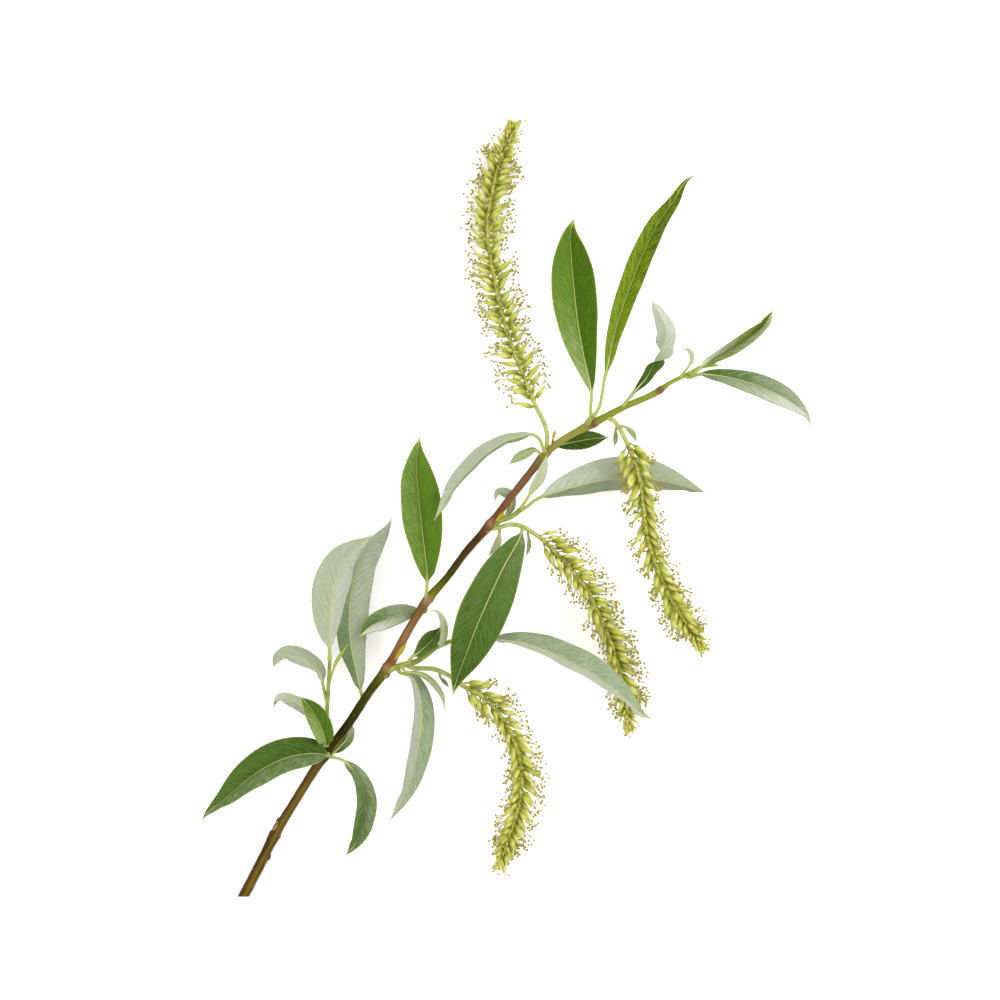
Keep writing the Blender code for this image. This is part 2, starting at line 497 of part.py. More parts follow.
def make_leaf(leaf, host, material, parent):
    """A stalk that opens into a folded blade with shallow teeth along its edges."""
    route = Route(leaf.route)
    stalk_radius = min(STALK_RADIUS, 0.28 + 0.1 * leaf.half_width)
    start = clear_start(route, stalk_radius, host, 6)
    blade_start = max(route.knots[leaf.stalk], start + 0.8)
    rings = []
    stalk_count = max(1, round((blade_start - start) / STALK_PITCH))
    for s in np.linspace(start, blade_start, stalk_count, endpoint=False):
        rings.append(polygon(route.at(s), route.frame(s), stalk_radius, 6, math.radians(30)))
    blade_length = route.length - blade_start
    pitch = TWIST_PITCH if leaf.twist else STATION_PITCH
    count = int(min(24, max(7, round(blade_length / pitch))))
    for station in range(count + 1):
        u = station / count
        s = blade_start + u * blade_length
        frame = route.frame(s, math.radians(leaf.twist) * smooth_step(u, 0.3, 0.68))
        tooth = 1.0 - TOOTH_DEPTH_SHARE * (station % 2)
        half_width = leaf.half_width * blade_width(u, leaf.widest) * tooth
        half_width = max(half_width, stalk_radius if u < 0.5 else TIP_HALF_WIDTH)
        half_thickness = BLADE_THICKNESS / 2 * (1.0 if u < 0.97 else 0.8)
        ring = blade_ring(route.at(s), frame, half_width, half_thickness, leaf.raised)
        if station == 0:
            ring = polygon(route.at(s), frame, stalk_radius, 6, math.radians(30))
        rings.append(ring)
    rings = [[(x, y, max(z, 0.0)) for x, y, z in ring] for ring in rings]
    finish_object(leaf.name, loft(rings, flipped=(1, 4)), route.at(start), material, parent)


def make_floret(catkin, route, start, i):
    """One floret leaning from the axis toward the catkin's tip. Every second has a stamen."""
    share = (i + 0.5) / catkin.florets
    s = start + share * (route.length - start - 0.6)
    forward, left, up = route.frame(s)
    around = i * GOLDEN_ANGLE
    outward = math.cos(around) * left + math.sin(around) * up
    lean = math.radians(catkin.lean[0] + share * (catkin.lean[1] - catkin.lean[0]))
    size = 1.0 - 0.25 * smooth_step(share, 0.75, 1.0)
    direction = unit(math.sin(lean) * outward + math.cos(lean) * forward)
    base = route.at(s) + (RACHIS_RADIUS - FLORET_ROOT_DEPTH) * outward
    length = FLORET_LENGTH * size
    radius = FLORET_RADIUS * size
    stations = [(base, 0.55 * radius), (base + 0.5 * length * direction, radius)]
    if i % 2:
        stations.append((base + length * direction, 0.4 * radius))
    else:
        neck = base + 1.1 * length * direction
        tip = base + catkin.reach * size / math.sin(lean) * direction
        tip[2] = max(tip[2], catkin.floor + TIP_LIFT)
        filament = unit(tip - neck)
        stations.append((neck, FILAMENT_RADIUS))
        stations.append((tip - 2 * ANTHER_RADIUS * filament, FILAMENT_RADIUS))
        stations.append((tip - ANTHER_RADIUS * filament, ANTHER_RADIUS))
        stations.append((tip, 0.4 * ANTHER_RADIUS))
    side = unit(np.cross(direction, (0.31, 0.17, 0.93)))
    frame = (direction, side, np.cross(direction, side))
    rings = [polygon(centre, frame, width, FLORET_SIDES) for centre, width in stations]
    return loft([[(x, y, max(z, 0.0)) for x, y, z in ring] for ring in rings])


def make_catkin(catkin, host, material, parent):
    """A stalk and axis with florets all round it in a golden-angle spiral, fused in one."""
    route = Route(catkin.route)
    start = clear_start(route, PEDUNCLE_RADIUS, host, RACHIS_SIDES)
    first_floret = route.knots[catkin.stalk]
    rings = []
    for s in np.linspace(start, route.length, round((route.length - start) / RACHIS_PITCH) + 1):
        taper = 0.35 * smooth_step(s, 0.75 * route.length, route.length)
        radius = PEDUNCLE_RADIUS if s < first_floret else RACHIS_RADIUS * (1.0 - taper)
        rings.append(polygon(route.at(s), route.frame(s), radius, RACHIS_SIDES))
    origin = route.at(start)
    item = finish_object(catkin.name, loft(rings), origin, material, parent)
    repeats = bpy.data.collections.new(catkin.name + "_florets")
    bpy.context.scene.collection.children.link(repeats)
    for i in range(catkin.florets):
        shape = make_floret(catkin, route, first_floret, i)
        piece = finish_object("floret", shape, origin, material, parent)
        bpy.context.scene.collection.objects.unlink(piece)
        repeats.objects.link(piece)
    fuse_collection(item, repeats)
    return route.dense, np.full(len(route.dense), PEDUNCLE_RADIUS)


def fuse_collection(item, repeats):
    """Joins an object with every object of a collection, then removes that collection."""
    union = item.modifiers.new("florets", "BOOLEAN")
    union.operation = "UNION"
    union.operand_type = "COLLECTION"
    union.collection = repeats
    union.solver = "EXACT"
    bpy.context.view_layer.update()
    graph = bpy.context.evaluated_depsgraph_get()
    joined = bpy.data.meshes.new_from_object(item.evaluated_get(graph))
    item.modifiers.remove(union)
    item.data = joined
    for piece in list(repeats.objects):
        bpy.data.objects.remove(piece, do_unlink=True)
    bpy.data.collections.remove(repeats)


def build():
    """Makes every piece of the branch."""
    for item in list(bpy.data.objects):
        bpy.data.objects.remove(item, do_unlink=True)
    materials = {name: make_material(name) for name in FINISHES}
    branch = bpy.data.objects.new("branch_origin", None)
    branch.location = SHIFT * MM
    bpy.context.scene.collection.objects.link(branch)
    hosts = {}
    hosts["main_stem"] = make_stem(materials["bark"], branch)
    for name in SHOOTS:
        hosts[name] = make_shoot(name, hosts["main_stem"], materials["shoot"], branch)
    for catkin in CATKINS:
        hosts[catkin.name] = make_catkin(catkin, hosts[catkin.host], materials["catkin"], branch)
    for leaf in LEAVES:
        small = leaf.name.startswith(("bract", "bud"))
        make_leaf(leaf, hosts[leaf.host], materials["scale" if small else "leaf"], branch)


build()
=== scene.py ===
import math
import random
from collections import namedtuple

import bpy
import numpy as np
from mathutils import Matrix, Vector


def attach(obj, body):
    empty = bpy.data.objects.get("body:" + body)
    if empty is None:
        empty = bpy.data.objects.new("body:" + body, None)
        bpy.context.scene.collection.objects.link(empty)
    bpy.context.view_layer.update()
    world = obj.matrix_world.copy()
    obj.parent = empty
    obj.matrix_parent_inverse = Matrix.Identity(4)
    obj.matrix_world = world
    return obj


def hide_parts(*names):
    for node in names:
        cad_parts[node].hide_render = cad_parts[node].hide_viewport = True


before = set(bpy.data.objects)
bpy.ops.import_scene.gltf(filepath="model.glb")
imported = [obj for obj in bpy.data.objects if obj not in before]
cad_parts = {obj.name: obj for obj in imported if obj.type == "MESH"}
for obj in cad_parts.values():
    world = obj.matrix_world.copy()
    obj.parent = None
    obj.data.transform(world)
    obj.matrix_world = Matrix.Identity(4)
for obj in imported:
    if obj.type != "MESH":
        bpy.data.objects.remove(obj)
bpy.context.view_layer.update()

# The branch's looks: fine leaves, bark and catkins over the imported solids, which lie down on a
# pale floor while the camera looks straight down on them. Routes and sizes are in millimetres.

MM = 0.001
DENSE_STEPS = 14
GOLDEN_ANGLE = math.pi * (3.0 - math.sqrt(5.0))

# A curve's direction at a length is taken this far to either side of it.
FRAME_STEP = 0.4

# Sizes shared with the solids.
SHIFT = (-0.04, 0.57, 0.0)
STALK_RADIUS = 0.42
STEM_CUT_Y = -98.5
NODE_SWELLING = 0.22
NODE_SWELLING_LENGTH = 1.7
PEDUNCLE_RADIUS = 0.58
CLEAR_OF_SURFACE = 0.8

# Fineness of the meshes.
BLADE_PITCH = 0.42
STALK_PITCH = 0.55
HALF_COLUMNS = 10
HALF_COLUMNS_MEDIUM = 7
HALF_COLUMNS_SMALL = 4
MEDIUM_HALF_WIDTH = 0.9
LARGE_HALF_WIDTH = 2.0
STEM_PITCH = 0.45
STEM_SIDES = 28
NODE_RING = 0.2
SHOOT_SIDES = 16

# A blade's relief.
BLADE_THICKNESS = 0.34
TIP_HALF_WIDTH = 0.12
TOOTH_PITCH = 1.26
TOOTH_DEPTH = 0.09
VEIN_PITCH = 2.4
VEIN_OFFSET = 0.45 * VEIN_PITCH
VEIN_LEAN = 0.9
VEIN_CURVE = 0.16
STREAK_ANGLE = math.radians(27)
STREAK_RATE = (0.3, 2.1)
PUCKER_HEIGHT = 0.022
RIB_GROOVE = 0.09
RIB_RIDGE = 0.22
RIB_HALF_WIDTH = 0.22
CREASE_HALF_WIDTH = 0.35
WAVE_LENGTH = 11.0
WAVE_OFFSET = 0.37
SINK_LENGTH = 0.9
TWIST_RANGE = (0.3, 0.62)

# A floret and its stamens. Profiles give the share along the body and the width there.
FLORETS_PER_MM = 3.2
FLORET_LENGTH = 3.8
FLORET_RADIUS = 0.69
FLORET_SIDES = 8
FLORET_PROFILE = ((0.0, 0.3), (0.12, 0.75), (0.3, 1.0), (0.55, 0.98), (0.75, 0.82), (0.9, 0.6), (1.0, 0.5))
STAMENS = 5
FILAMENT_RADIUS = 0.08
SHORTEST_FILAMENT = 1.3
LONGEST_FILAMENT = 3.6
ANTHER_LENGTH = 0.24
ANTHER_RADIUS = 0.34
ANTHER_SIDES = 8
ANTHER_PROFILE = ((-1.0, 0.4), (-0.6, 0.85), (0.0, 1.0), (0.6, 0.85), (1.0, 0.4))

# How florets stand on a catkin. Those that face the viewer lean further out, by up to
# FRONT_LEAN degrees. Catkins whose florets lean less than LOOSE_BELOW have stalked, looser ones.
AXIS_RADIUS = 0.55
AXIS_PITCH = 0.7
AXIS_SIDES = 12
FRONT_LEAN = 30.0
LEAN_SCATTER = 12.0
STEEPEST_LEAN = 85.0
LOOSE_BELOW = 50
# The last floret and the axis itself end this far short of the route's end.
TIP_MARGIN = 2.0
STICK_MARGIN = 2.0
# Above 1, florets stand closer toward the tip.
TIP_CROWDING = 1.6
# Anthers reach this share of the catkin's own reach.
REACH_SHARE = 1.12
# Stamens and florets that would pass this y are left out, so that all stay in the solids' box.
REACH_LIMIT_Y = 96.8
# Added to the direction of every floret of a catkin, which bends them all one way.
DRIFT = {
    "catkin_top": (0.0, 0.0, 0.0),
    "catkin_low": (0.12, -0.05, 0.0),
    "catkin_middle": (0.25, 0.05, 0.0),
    "catkin_right": (0.0, -0.12, 0.0),
}
RANDOM_SEED = 7

# The studio is so bright that the pale floor stays white round the branch. Hex colours are
# written as they look in that light.
LIGHT_LEVEL = 1.7
# The near-white of painted sheen, which the leaves' tone maps reach above 1.
PAINTED_SHEEN_COLOUR = "CBD0BE"
LEAF_SPECULAR = 0.06
SKY_LIGHT = 0.88
WINDOW_POWER = 9.0
FILL_POWER = 3.0
FLOOR_HALF_WIDTH = 1.5

# The photograph's frame: 0.25 mm to a pixel, seen from straight above.
MM_PER_PIXEL = 0.25
IMAGE_PIXELS = 1000
IMAGE_CENTRE = (-1.6, 1.2)
CAMERA_HEIGHT = 2.2
BRANCH_HEIGHT = 0.014
SENSOR_WIDTH = 36.0

# The stem's axis with its diameter at each point: x, y, z, diameter.
STEM = [
    (-66.1, -98.5, 1.2, 2.65),
    (-64.2, -94.9, 1.3, 2.65),
    (-62.1, -90.8, 1.9, 2.65),
    (-58.4, -83.4, 4.0, 2.5),
    (-52.3, -73.2, 6.6, 2.3),
    (-45.8, -63.1, 9.0, 2.4),
    (-40.3, -56.0, 10.8, 2.3),
    (-33.6, -45.9, 12.3, 2.2),
    (-30.1, -41.3, 13.0, 2.3),
    (-24.7, -31.7, 14.5, 2.1),
    (-20.0, -24.1, 15.5, 2.1),
    (-14.8, -18.1, 16.0, 1.8),
    (-10.1, -11.8, 16.5, 1.95),
    (-4.4, -5.3, 17.0, 2.0),
    (0.2, 0.7, 17.4, 1.9),
    (4.5, 6.15, 17.7, 1.95),
    (8.4, 11.0, 18.0, 1.9),
    (11.5, 14.3, 18.0, 1.8),
    (16.1, 17.4, 18.0, 1.8),
    (20.4, 19.7, 18.0, 1.8),
    (24.4, 21.8, 17.8, 1.7),
    (29.8, 24.6, 17.5, 1.6),
    (34.7, 26.7, 17.2, 1.5),
    (37.7, 28.2, 17.0, 1.35),
    (40.9, 30.5, 16.7, 1.1),
    (44.4, 32.2, 16.2, 1.0),
    (45.9, 33.0, 16.0, 0.9),
]
# The y of the nodes, where leaves and shoots leave the stem and it swells.
STEM_NODES_Y = [-83.3, -63.0, -41.1, -23.8, -5.3, 11.0, 20.0, 28.2]

# The side shoots' axes, in the same form.
SHOOTS = {
    "shoot_low": [
        (-44.6, -60.6, 9.9, 1.15),
        (-45.1, -58.6, 10.4, 1.15),
        (-44.9, -51.4, 10.0, 1.1),
        (-44.6, -46.1, 10.5, 1.05),
        (-44.3, -40.8, 12.0, 0.95),
        (-44.2, -38.8, 13.0, 0.9),
    ],
    "shoot_middle": [
        (-29.6, -41.2, 13.4, 1.6),
        (-25.85, -40.05, 13.9, 1.5),
        (-22.6, -39.2, 14.0, 1.4),
        (-19.85, -37.4, 14.2, 1.3),
        (-17.6, -35.7, 14.4, 1.2),
        (-14.7, -34.4, 14.5, 1.1),
    ],
    "shoot_upper": [
        (-3.4, -5.0, 17.1, 1.3),
        (-1.35, -3.9, 17.1, 1.3),
        (0.7, -3.2, 17.0, 1.3),
        (2.3, -2.25, 17.2, 1.3),
        (3.6, -1.0, 17.4, 1.2),
    ],
    "shoot_top": [
        (20.3, 20.4, 18.4, 1.2),
        (20.9, 21.4, 19.5, 1.2),
        (21.7, 22.0, 20.2, 1.2),
    ],
}

# A leaf: its name and host, the half width of its flat blade, how far its left and right
# halves are raised toward the viewer in degrees, how many of its first points are stalk,
# where along the blade it is widest, how far it is twisted halfway, and its route.
Leaf = namedtuple("Leaf", "name host half_width raised stalk widest twist route")

LEAVES = [
    Leaf("leaf_low_left", "main_stem", 5.2, (50, 10), 1, 0.36, 0, [
        (-43.9, -63.0, 10.6), (-44.3, -62.8, 11.6), (-47.6, -62.3, 12.5), (-52.4, -62.7, 13.3),
        (-57.7, -64.4, 14.0), (-64.4, -68.5, 13.5), (-70.2, -73.4, 12.0), (-75.1, -77.4, 10.0),
        (-76.7, -79.6, 8.5)]),
    Leaf("leaf_low_upright", "main_stem", 3.1, (39, 20), 1, 0.5, 0, [
        (-44.9, -60.9, 9.4), (-45.2, -60.2, 10.4), (-45.5, -58.0, 13.6), (-47.1, -53.9, 15.0),
        (-49.2, -50.5, 14.6), (-51.5, -47.9, 14.0)]),
    Leaf("leaf_low_curled", "main_stem", 1.8, (-27, -27), 1, 0.45, 0, [
        (-44.2, -59.9, 8.7), (-47.6, -54.3, 8.4), (-50.4, -51.1, 9.0), (-53.6, -49.1, 9.0),
        (-56.9, -48.3, 8.0), (-58.6, -50.8, 6.5)]),
    Leaf("leaf_low_behind", "main_stem", 2.1, (-18, -40), 1, 0.5, 0, [
        (-44.9, -62.8, 8.0), (-43.4, -62.2, 6.9), (-41.9, -60.8, 6.8), (-40.1, -58.6, 6.8),
        (-39.4, -56.0, 6.5), (-39.9, -54.3, 6.2)]),
    Leaf("leaf_low_right", "main_stem", 3.3, (20, 55), 2, 0.5, 0, [
        (-44.9, -63.2, 9.8), (-43.0, -63.3, 10.8), (-41.0, -63.9, 11.0), (-38.9, -65.8, 11.0),
        (-36.7, -68.9, 11.0), (-35.6, -72.9, 10.0), (-36.0, -78.3, 8.0), (-37.4, -83.6, 6.0),
        (-38.9, -86.3, 5.0), (-40.5, -88.4, 4.5)]),
    Leaf("leaf_low_tall", "shoot_low", 5.4, (13, -49), 1, 0.5, 0, [
        (-44.2, -38.6, 13.1), (-44.2, -36.2, 13.5), (-44.0, -26.8, 15.0), (-42.7, -19.5, 16.0),
        (-40.8, -14.7, 16.0), (-37.8, -11.1, 15.0), (-35.2, -8.9, 14.5), (-33.7, -7.6, 14.0)]),
    Leaf("leaf_low_tall_back", "main_stem", 4.9, (-35, -16), 1, 0.52, 0, [
        (-36.2, -48.3, 10.6), (-36.4, -47.2, 9.6), (-37.5, -42.0, 8.1), (-38.8, -35.8, 8.0),
        (-39.2, -29.8, 8.0), (-39.0, -24.6, 8.2), (-38.2, -19.5, 8.6), (-36.5, -14.7, 9.0),
        (-33.4, -10.4, 9.0), (-30.0, -6.1, 9.0), (-28.6, -3.3, 9.0)]),
    Leaf("young_leaf_low", "shoot_low", 0.42, (-20, -20), 1, 0.5, 0, [
        (-44.4, -45.4, 10.6), (-43.7, -42.6, 11.6), (-42.7, -39.6, 12.6), (-41.6, -37.8, 13.0),
        (-39.6, -34.8, 13.2)]),
    Leaf("leaf_low_arched", "shoot_low", 3.0, (-62, -15), 2, 0.5, 0, [
        (-45.0, -49.2, 10.0), (-45.8, -46.1, 9.2), (-46.1, -44.5, 9.0), (-46.6, -42.2, 8.8),
        (-48.0, -40.7, 9.0), (-49.9, -39.6, 9.6), (-53.0, -38.2, 10.0), (-55.1, -37.7, 10.0),
        (-57.1, -38.3, 9.4), (-58.5, -40.8, 8.2)]),
    Leaf("leaf_mid_left", "main_stem", 3.1, (42, 15), 2, 0.5, 0, [
        (-20.9, -25.3, 14.6), (-20.0, -26.5, 13.2), (-21.2, -27.0, 12.2), (-23.0, -26.9, 11.6),
        (-25.2, -27.1, 11.4), (-28.1, -28.0, 11.4), (-30.9, -29.1, 11.2), (-32.9, -29.8, 11.0),
        (-35.4, -31.6, 11.0), (-36.9, -33.1, 11.0)]),
    Leaf("leaf_mid_upright", "main_stem", 5.7, (38, 15), 2, 0.5, 0, [
        (-20.4, -23.6, 16.0), (-19.9, -21.3, 17.2), (-19.8, -19.8, 17.4), (-19.8, -18.3, 17.4),
        (-20.3, -12.7, 17.2), (-20.9, -7.8, 17.0), (-21.5, -2.5, 17.0), (-22.0, 2.4, 16.5),
        (-22.4, 7.2, 15.5), (-22.4, 12.3, 14.0), (-21.7, 17.0, 12.0)]),
    Leaf("leaf_fold_left", "main_stem", 2.7, (-70, -22), 3, 0.5, 0, [
        (9.8, 13.0, 18.3), (9.0, 14.6, 19.6), (8.2, 16.4, 20.6), (6.6, 17.5, 21.5),
        (2.8, 16.8, 23.0), (-0.3, 15.8, 24.0), (-3.1, 14.2, 24.5), (-6.2, 12.0, 24.8),
        (-8.7, 9.5, 24.6), (-11.3, 6.7, 24.0), (-13.3, 4.2, 23.4), (-15.3, 0.9, 22.8),
        (-18.0, -3.9, 22.0)]),
    Leaf("young_leaf_crown", "main_stem", 1.2, (-33, -23), 1, 0.5, 0, [
        (8.9, 11.9, 18.2), (8.0, 13.2, 18.4), (7.1, 13.7, 18.5), (4.9, 12.8, 18.6),
        (2.9, 11.8, 18.4), (0.5, 10.0, 18.0)]),
    Leaf("leaf_hook_back", "shoot_upper", 1.3, (-25, -25), 1, 0.5, 0, [
        (-1.2, -3.7, 16.4), (-0.4, -2.9, 15.2), (1.2, -0.6, 14.4), (0.4, 2.7, 14.2),
        (-2.1, 3.2, 14.2), (-3.0, 0.7, 14.4)]),
    Leaf("leaf_hook_front", "shoot_upper", 1.3, (-32, -32), 1, 0.5, 0, [
        (3.6, -1.0, 17.8), (5.5, 2.1, 19.2), (7.1, 4.8, 20.5), (8.1, 6.2, 20.9),
        (9.3, 9.2, 21.0), (10.2, 12.7, 20.9)]),
    Leaf("leaf_long_right", "shoot_upper", 5.5, (-15, -57), 3, 0.5, 0, [
        (2.5, -2.1, 16.9), (5.5, -0.2, 15.8), (7.1, 1.1, 15.4), (8.4, 1.8, 15.0),
        (14.1, 3.8, 13.6), (20.4, 5.5, 12.0), (24.5, 6.3, 11.0), (28.7, 6.8, 10.4),
        (32.8, 6.8, 10.0), (38.4, 6.2, 9.2), (44.2, 4.8, 8.4), (50.2, 3.1, 7.4)]),
    Leaf("leaf_crown_back", "main_stem", 2.5, (28, 28), 1, 0.5, 0, [
        (11.0, 13.9, 17.0), (12.6, 14.6, 15.8), (14.7, 15.2, 15.4), (18.4, 16.0, 15.0),
        (22.2, 16.6, 14.8), (25.5, 16.8, 14.5)]),
    Leaf("leaf_large_front", "catkin_middle", 6.2, (5, 23), 1, 0.5, 0, [
        (4.1, -5.2, 17.6), (3.9, -6.4, 18.8), (3.4, -8.0, 19.6), (1.4, -11.7, 20.4),
        (-0.3, -14.7, 21.0), (-4.2, -22.9, 22.0), (-7.6, -30.7, 22.5), (-10.2, -37.6, 22.2),
        (-12.4, -43.6, 21.2), (-13.4, -47.5, 20.2)]),
    Leaf("young_leaf_upper_low", "catkin_middle", 0.95, (-25, -25), 1, 0.5, 0, [
        (-1.6, -5.7, 16.4), (-1.7, -6.7, 15.4), (-1.8, -7.8, 15.2), (-2.4, -10.1, 14.9),
        (-4.5, -12.8, 14.4)]),
    Leaf("leaf_arching_right", "shoot_middle", 4.7, (-17, -72), 3, 0.5, 0, [
        (-14.8, -34.4, 14.5), (-12.2, -33.6, 14.4), (-9.4, -33.2, 14.8), (-4.1, -33.1, 16.0),
        (-2.1, -33.5, 16.6), (4.1, -34.5, 18.0), (9.9, -36.5, 19.4), (15.8, -39.4, 20.4),
        (20.7, -41.9, 20.8), (25.7, -45.2, 20.8), (29.9, -48.6, 20.4), (34.0, -52.3, 19.6),
        (36.7, -53.6, 19.0)]),
    Leaf("leaf_middle_upper", "shoot_middle", 2.4, (16, 45), 1, 0.5, 0, [
        (-24.7, -39.5, 14.4), (-23.2, -37.7, 16.0), (-21.7, -36.8, 16.3), (-20.1, -35.3, 16.0),
        (-18.5, -33.6, 15.2), (-17.2, -32.1, 14.4), (-16.4, -30.3, 13.9)]),
    Leaf("leaf_middle_curled", "shoot_middle", 0.95, (-24, -24), 1, 0.4, 0, [
        (-17.3, -35.8, 14.8), (-16.7, -35.5, 16.6), (-15.8, -33.6, 18.4), (-15.5, -30.8, 19.3),
        (-16.2, -28.1, 19.2), (-17.6, -26.4, 18.6), (-19.1, -26.6, 18.0)]),
    Leaf("leaf_middle_drooping", "shoot_middle", 3.7, (-19, -57), 2, 0.45, 0, [
        (-27.4, -40.7, 13.3), (-26.6, -42.0, 12.6), (-25.2, -42.4, 12.4), (-23.6, -43.0, 12.4),
        (-22.2, -45.6, 12.4), (-21.5, -48.8, 12.2), (-21.3, -54.2, 11.6), (-22.0, -59.5, 10.6),
        (-22.9, -64.0, 9.6), (-24.0, -68.5, 8.6), (-26.0, -73.8, 7.6), (-29.5, -79.8, 6.5)]),
    Leaf("leaf_middle_narrow", "shoot_middle", 0.8, (-20, -20), 1, 0.5, 0, [
        (-26.2, -40.5, 14.2), (-25.4, -41.6, 15.2), (-22.7, -42.0, 15.8), (-20.7, -42.6, 15.8),
        (-19.0, -43.8, 15.4), (-17.4, -45.6, 14.8), (-15.9, -48.1, 14.0), (-15.5, -51.3, 13.0)]),
    Leaf("leaf_top_left", "shoot_top", 5.9, (18, 23), 2, 0.57, 0, [
        (21.0, 21.5, 19.7), (21.0, 24.0, 20.4), (21.2, 27.2, 20.9), (20.7, 30.8, 21.2),
        (19.3, 37.1, 21.8), (17.9, 44.7, 22.0), (16.9, 53.3, 21.5), (16.2, 61.9, 20.0),
        (16.0, 68.0, 18.4), (16.8, 71.6, 17.4)]),
    Leaf("leaf_top_long", "shoot_top", 3.1, (23, 33), 3, 0.5, 0, [
        (21.7, 22.0, 20.2), (23.0, 24.0, 20.4), (23.9, 27.8, 20.4), (24.5, 31.6, 20.4),
        (24.8, 32.8, 20.4), (27.4, 44.2, 20.4), (30.8, 54.3, 20.0), (34.1, 62.6, 19.0),
        (37.5, 69.6, 17.5), (41.8, 75.8, 15.5), (45.6, 81.5, 13.6), (48.0, 82.9, 13.0)]),
    Leaf("leaf_top_twisted", "main_stem", 3.2, (42, 42), 1, 0.64, 180, [
        (29.0, 24.6, 17.7), (30.6, 26.6, 18.6), (32.8, 29.2, 19.2), (35.0, 31.8, 20.0),
        (37.0, 35.8, 20.5), (39.2, 40.0, 20.5), (39.9, 42.6, 20.2), (38.6, 46.7, 19.6),
        (36.1, 50.9, 19.0)]),
    Leaf("young_leaf_top", "main_stem", 0.65, (-20, -20), 1, 0.5, 0, [
        (43.3, 31.9, 16.6), (45.2, 34.2, 18.0), (46.3, 36.2, 18.4), (46.0, 38.0, 18.4),
        (45.1, 38.8, 18.2), (43.7, 38.7, 18.0)]),
    Leaf("leaf_apex_up", "main_stem", 2.9, (55, 55), 2, 0.5, 0, [
        (45.7, 32.8, 16.2), (46.4, 32.6, 17.4), (48.2, 34.0, 18.4), (51.6, 36.3, 19.0),
        (55.6, 38.6, 19.2), (60.6, 41.9, 19.0), (64.6, 45.3, 17.8), (66.7, 48.8, 16.4)]),
    Leaf("leaf_apex_right", "main_stem", 3.2, (22, 32), 2, 0.5, 0, [
        (44.5, 32.0, 15.9), (46.0, 31.8, 15.2), (47.8, 32.5, 15.2), (52.2, 32.4, 14.8),
        (56.8, 31.6, 13.6), (62.8, 29.9, 10.4), (68.4, 27.6, 6.6), (72.6, 25.1, 3.4),
        (75.4, 22.6, 1.2), (76.8, 19.8, 0.2)]),
    Leaf("young_leaf_apex", "main_stem", 0.5, (0, 0), 1, 0.5, 0, [
        (45.9, 33.0, 16.0), (47.0, 33.8, 16.0), (50.8, 34.9, 16.4), (53.7, 34.6, 16.4)]),
    Leaf("bract_top_left", "catkin_right", 0.6, (0, 0), 1, 0.5, 0, [
        (27.9, 19.8, 17.6), (27.3, 18.8, 16.6), (27.3, 17.0, 16.3), (27.0, 14.5, 16.2)]),
    Leaf("bract_top_right", "catkin_right", 0.7, (0, 0), 1, 0.5, 0, [
        (28.1, 19.6, 17.9), (29.5, 19.5, 18.9), (30.8, 18.6, 19.0), (31.9, 17.2, 19.0),
        (32.3, 15.7, 18.9)]),
    Leaf("bract_middle", "catkin_low", 0.5, (0, 0), 1, 0.5, 0, [
        (-16.8, -41.7, 13.4), (-16.6, -43.0, 12.6), (-15.4, -44.4, 12.2), (-14.4, -45.6, 12.2)]),
    Leaf("bract_upper", "catkin_middle", 0.55, (0, 0), 1, 0.5, 0, [
        (5.4, -6.2, 16.9), (5.4, -7.4, 16.0), (5.7, -9.3, 15.7), (5.5, -11.1, 15.5),
        (4.9, -12.9, 15.4)]),
    Leaf("bud_scale_middle", "main_stem", 0.6, (0, 0), 1, 0.5, 0, [
        (-29.4, -40.2, 14.2), (-27.8, -38.5, 15.2), (-26.3, -36.4, 15.7), (-24.9, -34.3, 16.0)]),
    Leaf("bud_scale_upper", "main_stem", 0.5, (0, 0), 1, 0.5, 0, [
        (-3.6, -5.2, 17.9), (-2.6, -4.0, 18.8), (-1.4, -2.8, 19.0), (-0.4, -1.4, 19.1)]),
    Leaf("bud_scale_crown", "main_stem", 0.4, (0, 0), 1, 0.5, 0, [
        (11.4, 14.7, 18.2), (11.6, 16.2, 18.4), (12.2, 18.7, 18.6)]),
]

# A catkin: its name and host, how far its florets lean from the axis at
# its base and at its tip in degrees, how far its anthers reach from the axis in the
# middle, how many of its first points are the stalk, how close it comes to the surface,
# and its route.
Catkin = namedtuple("Catkin", "name host lean reach stalk floor route")

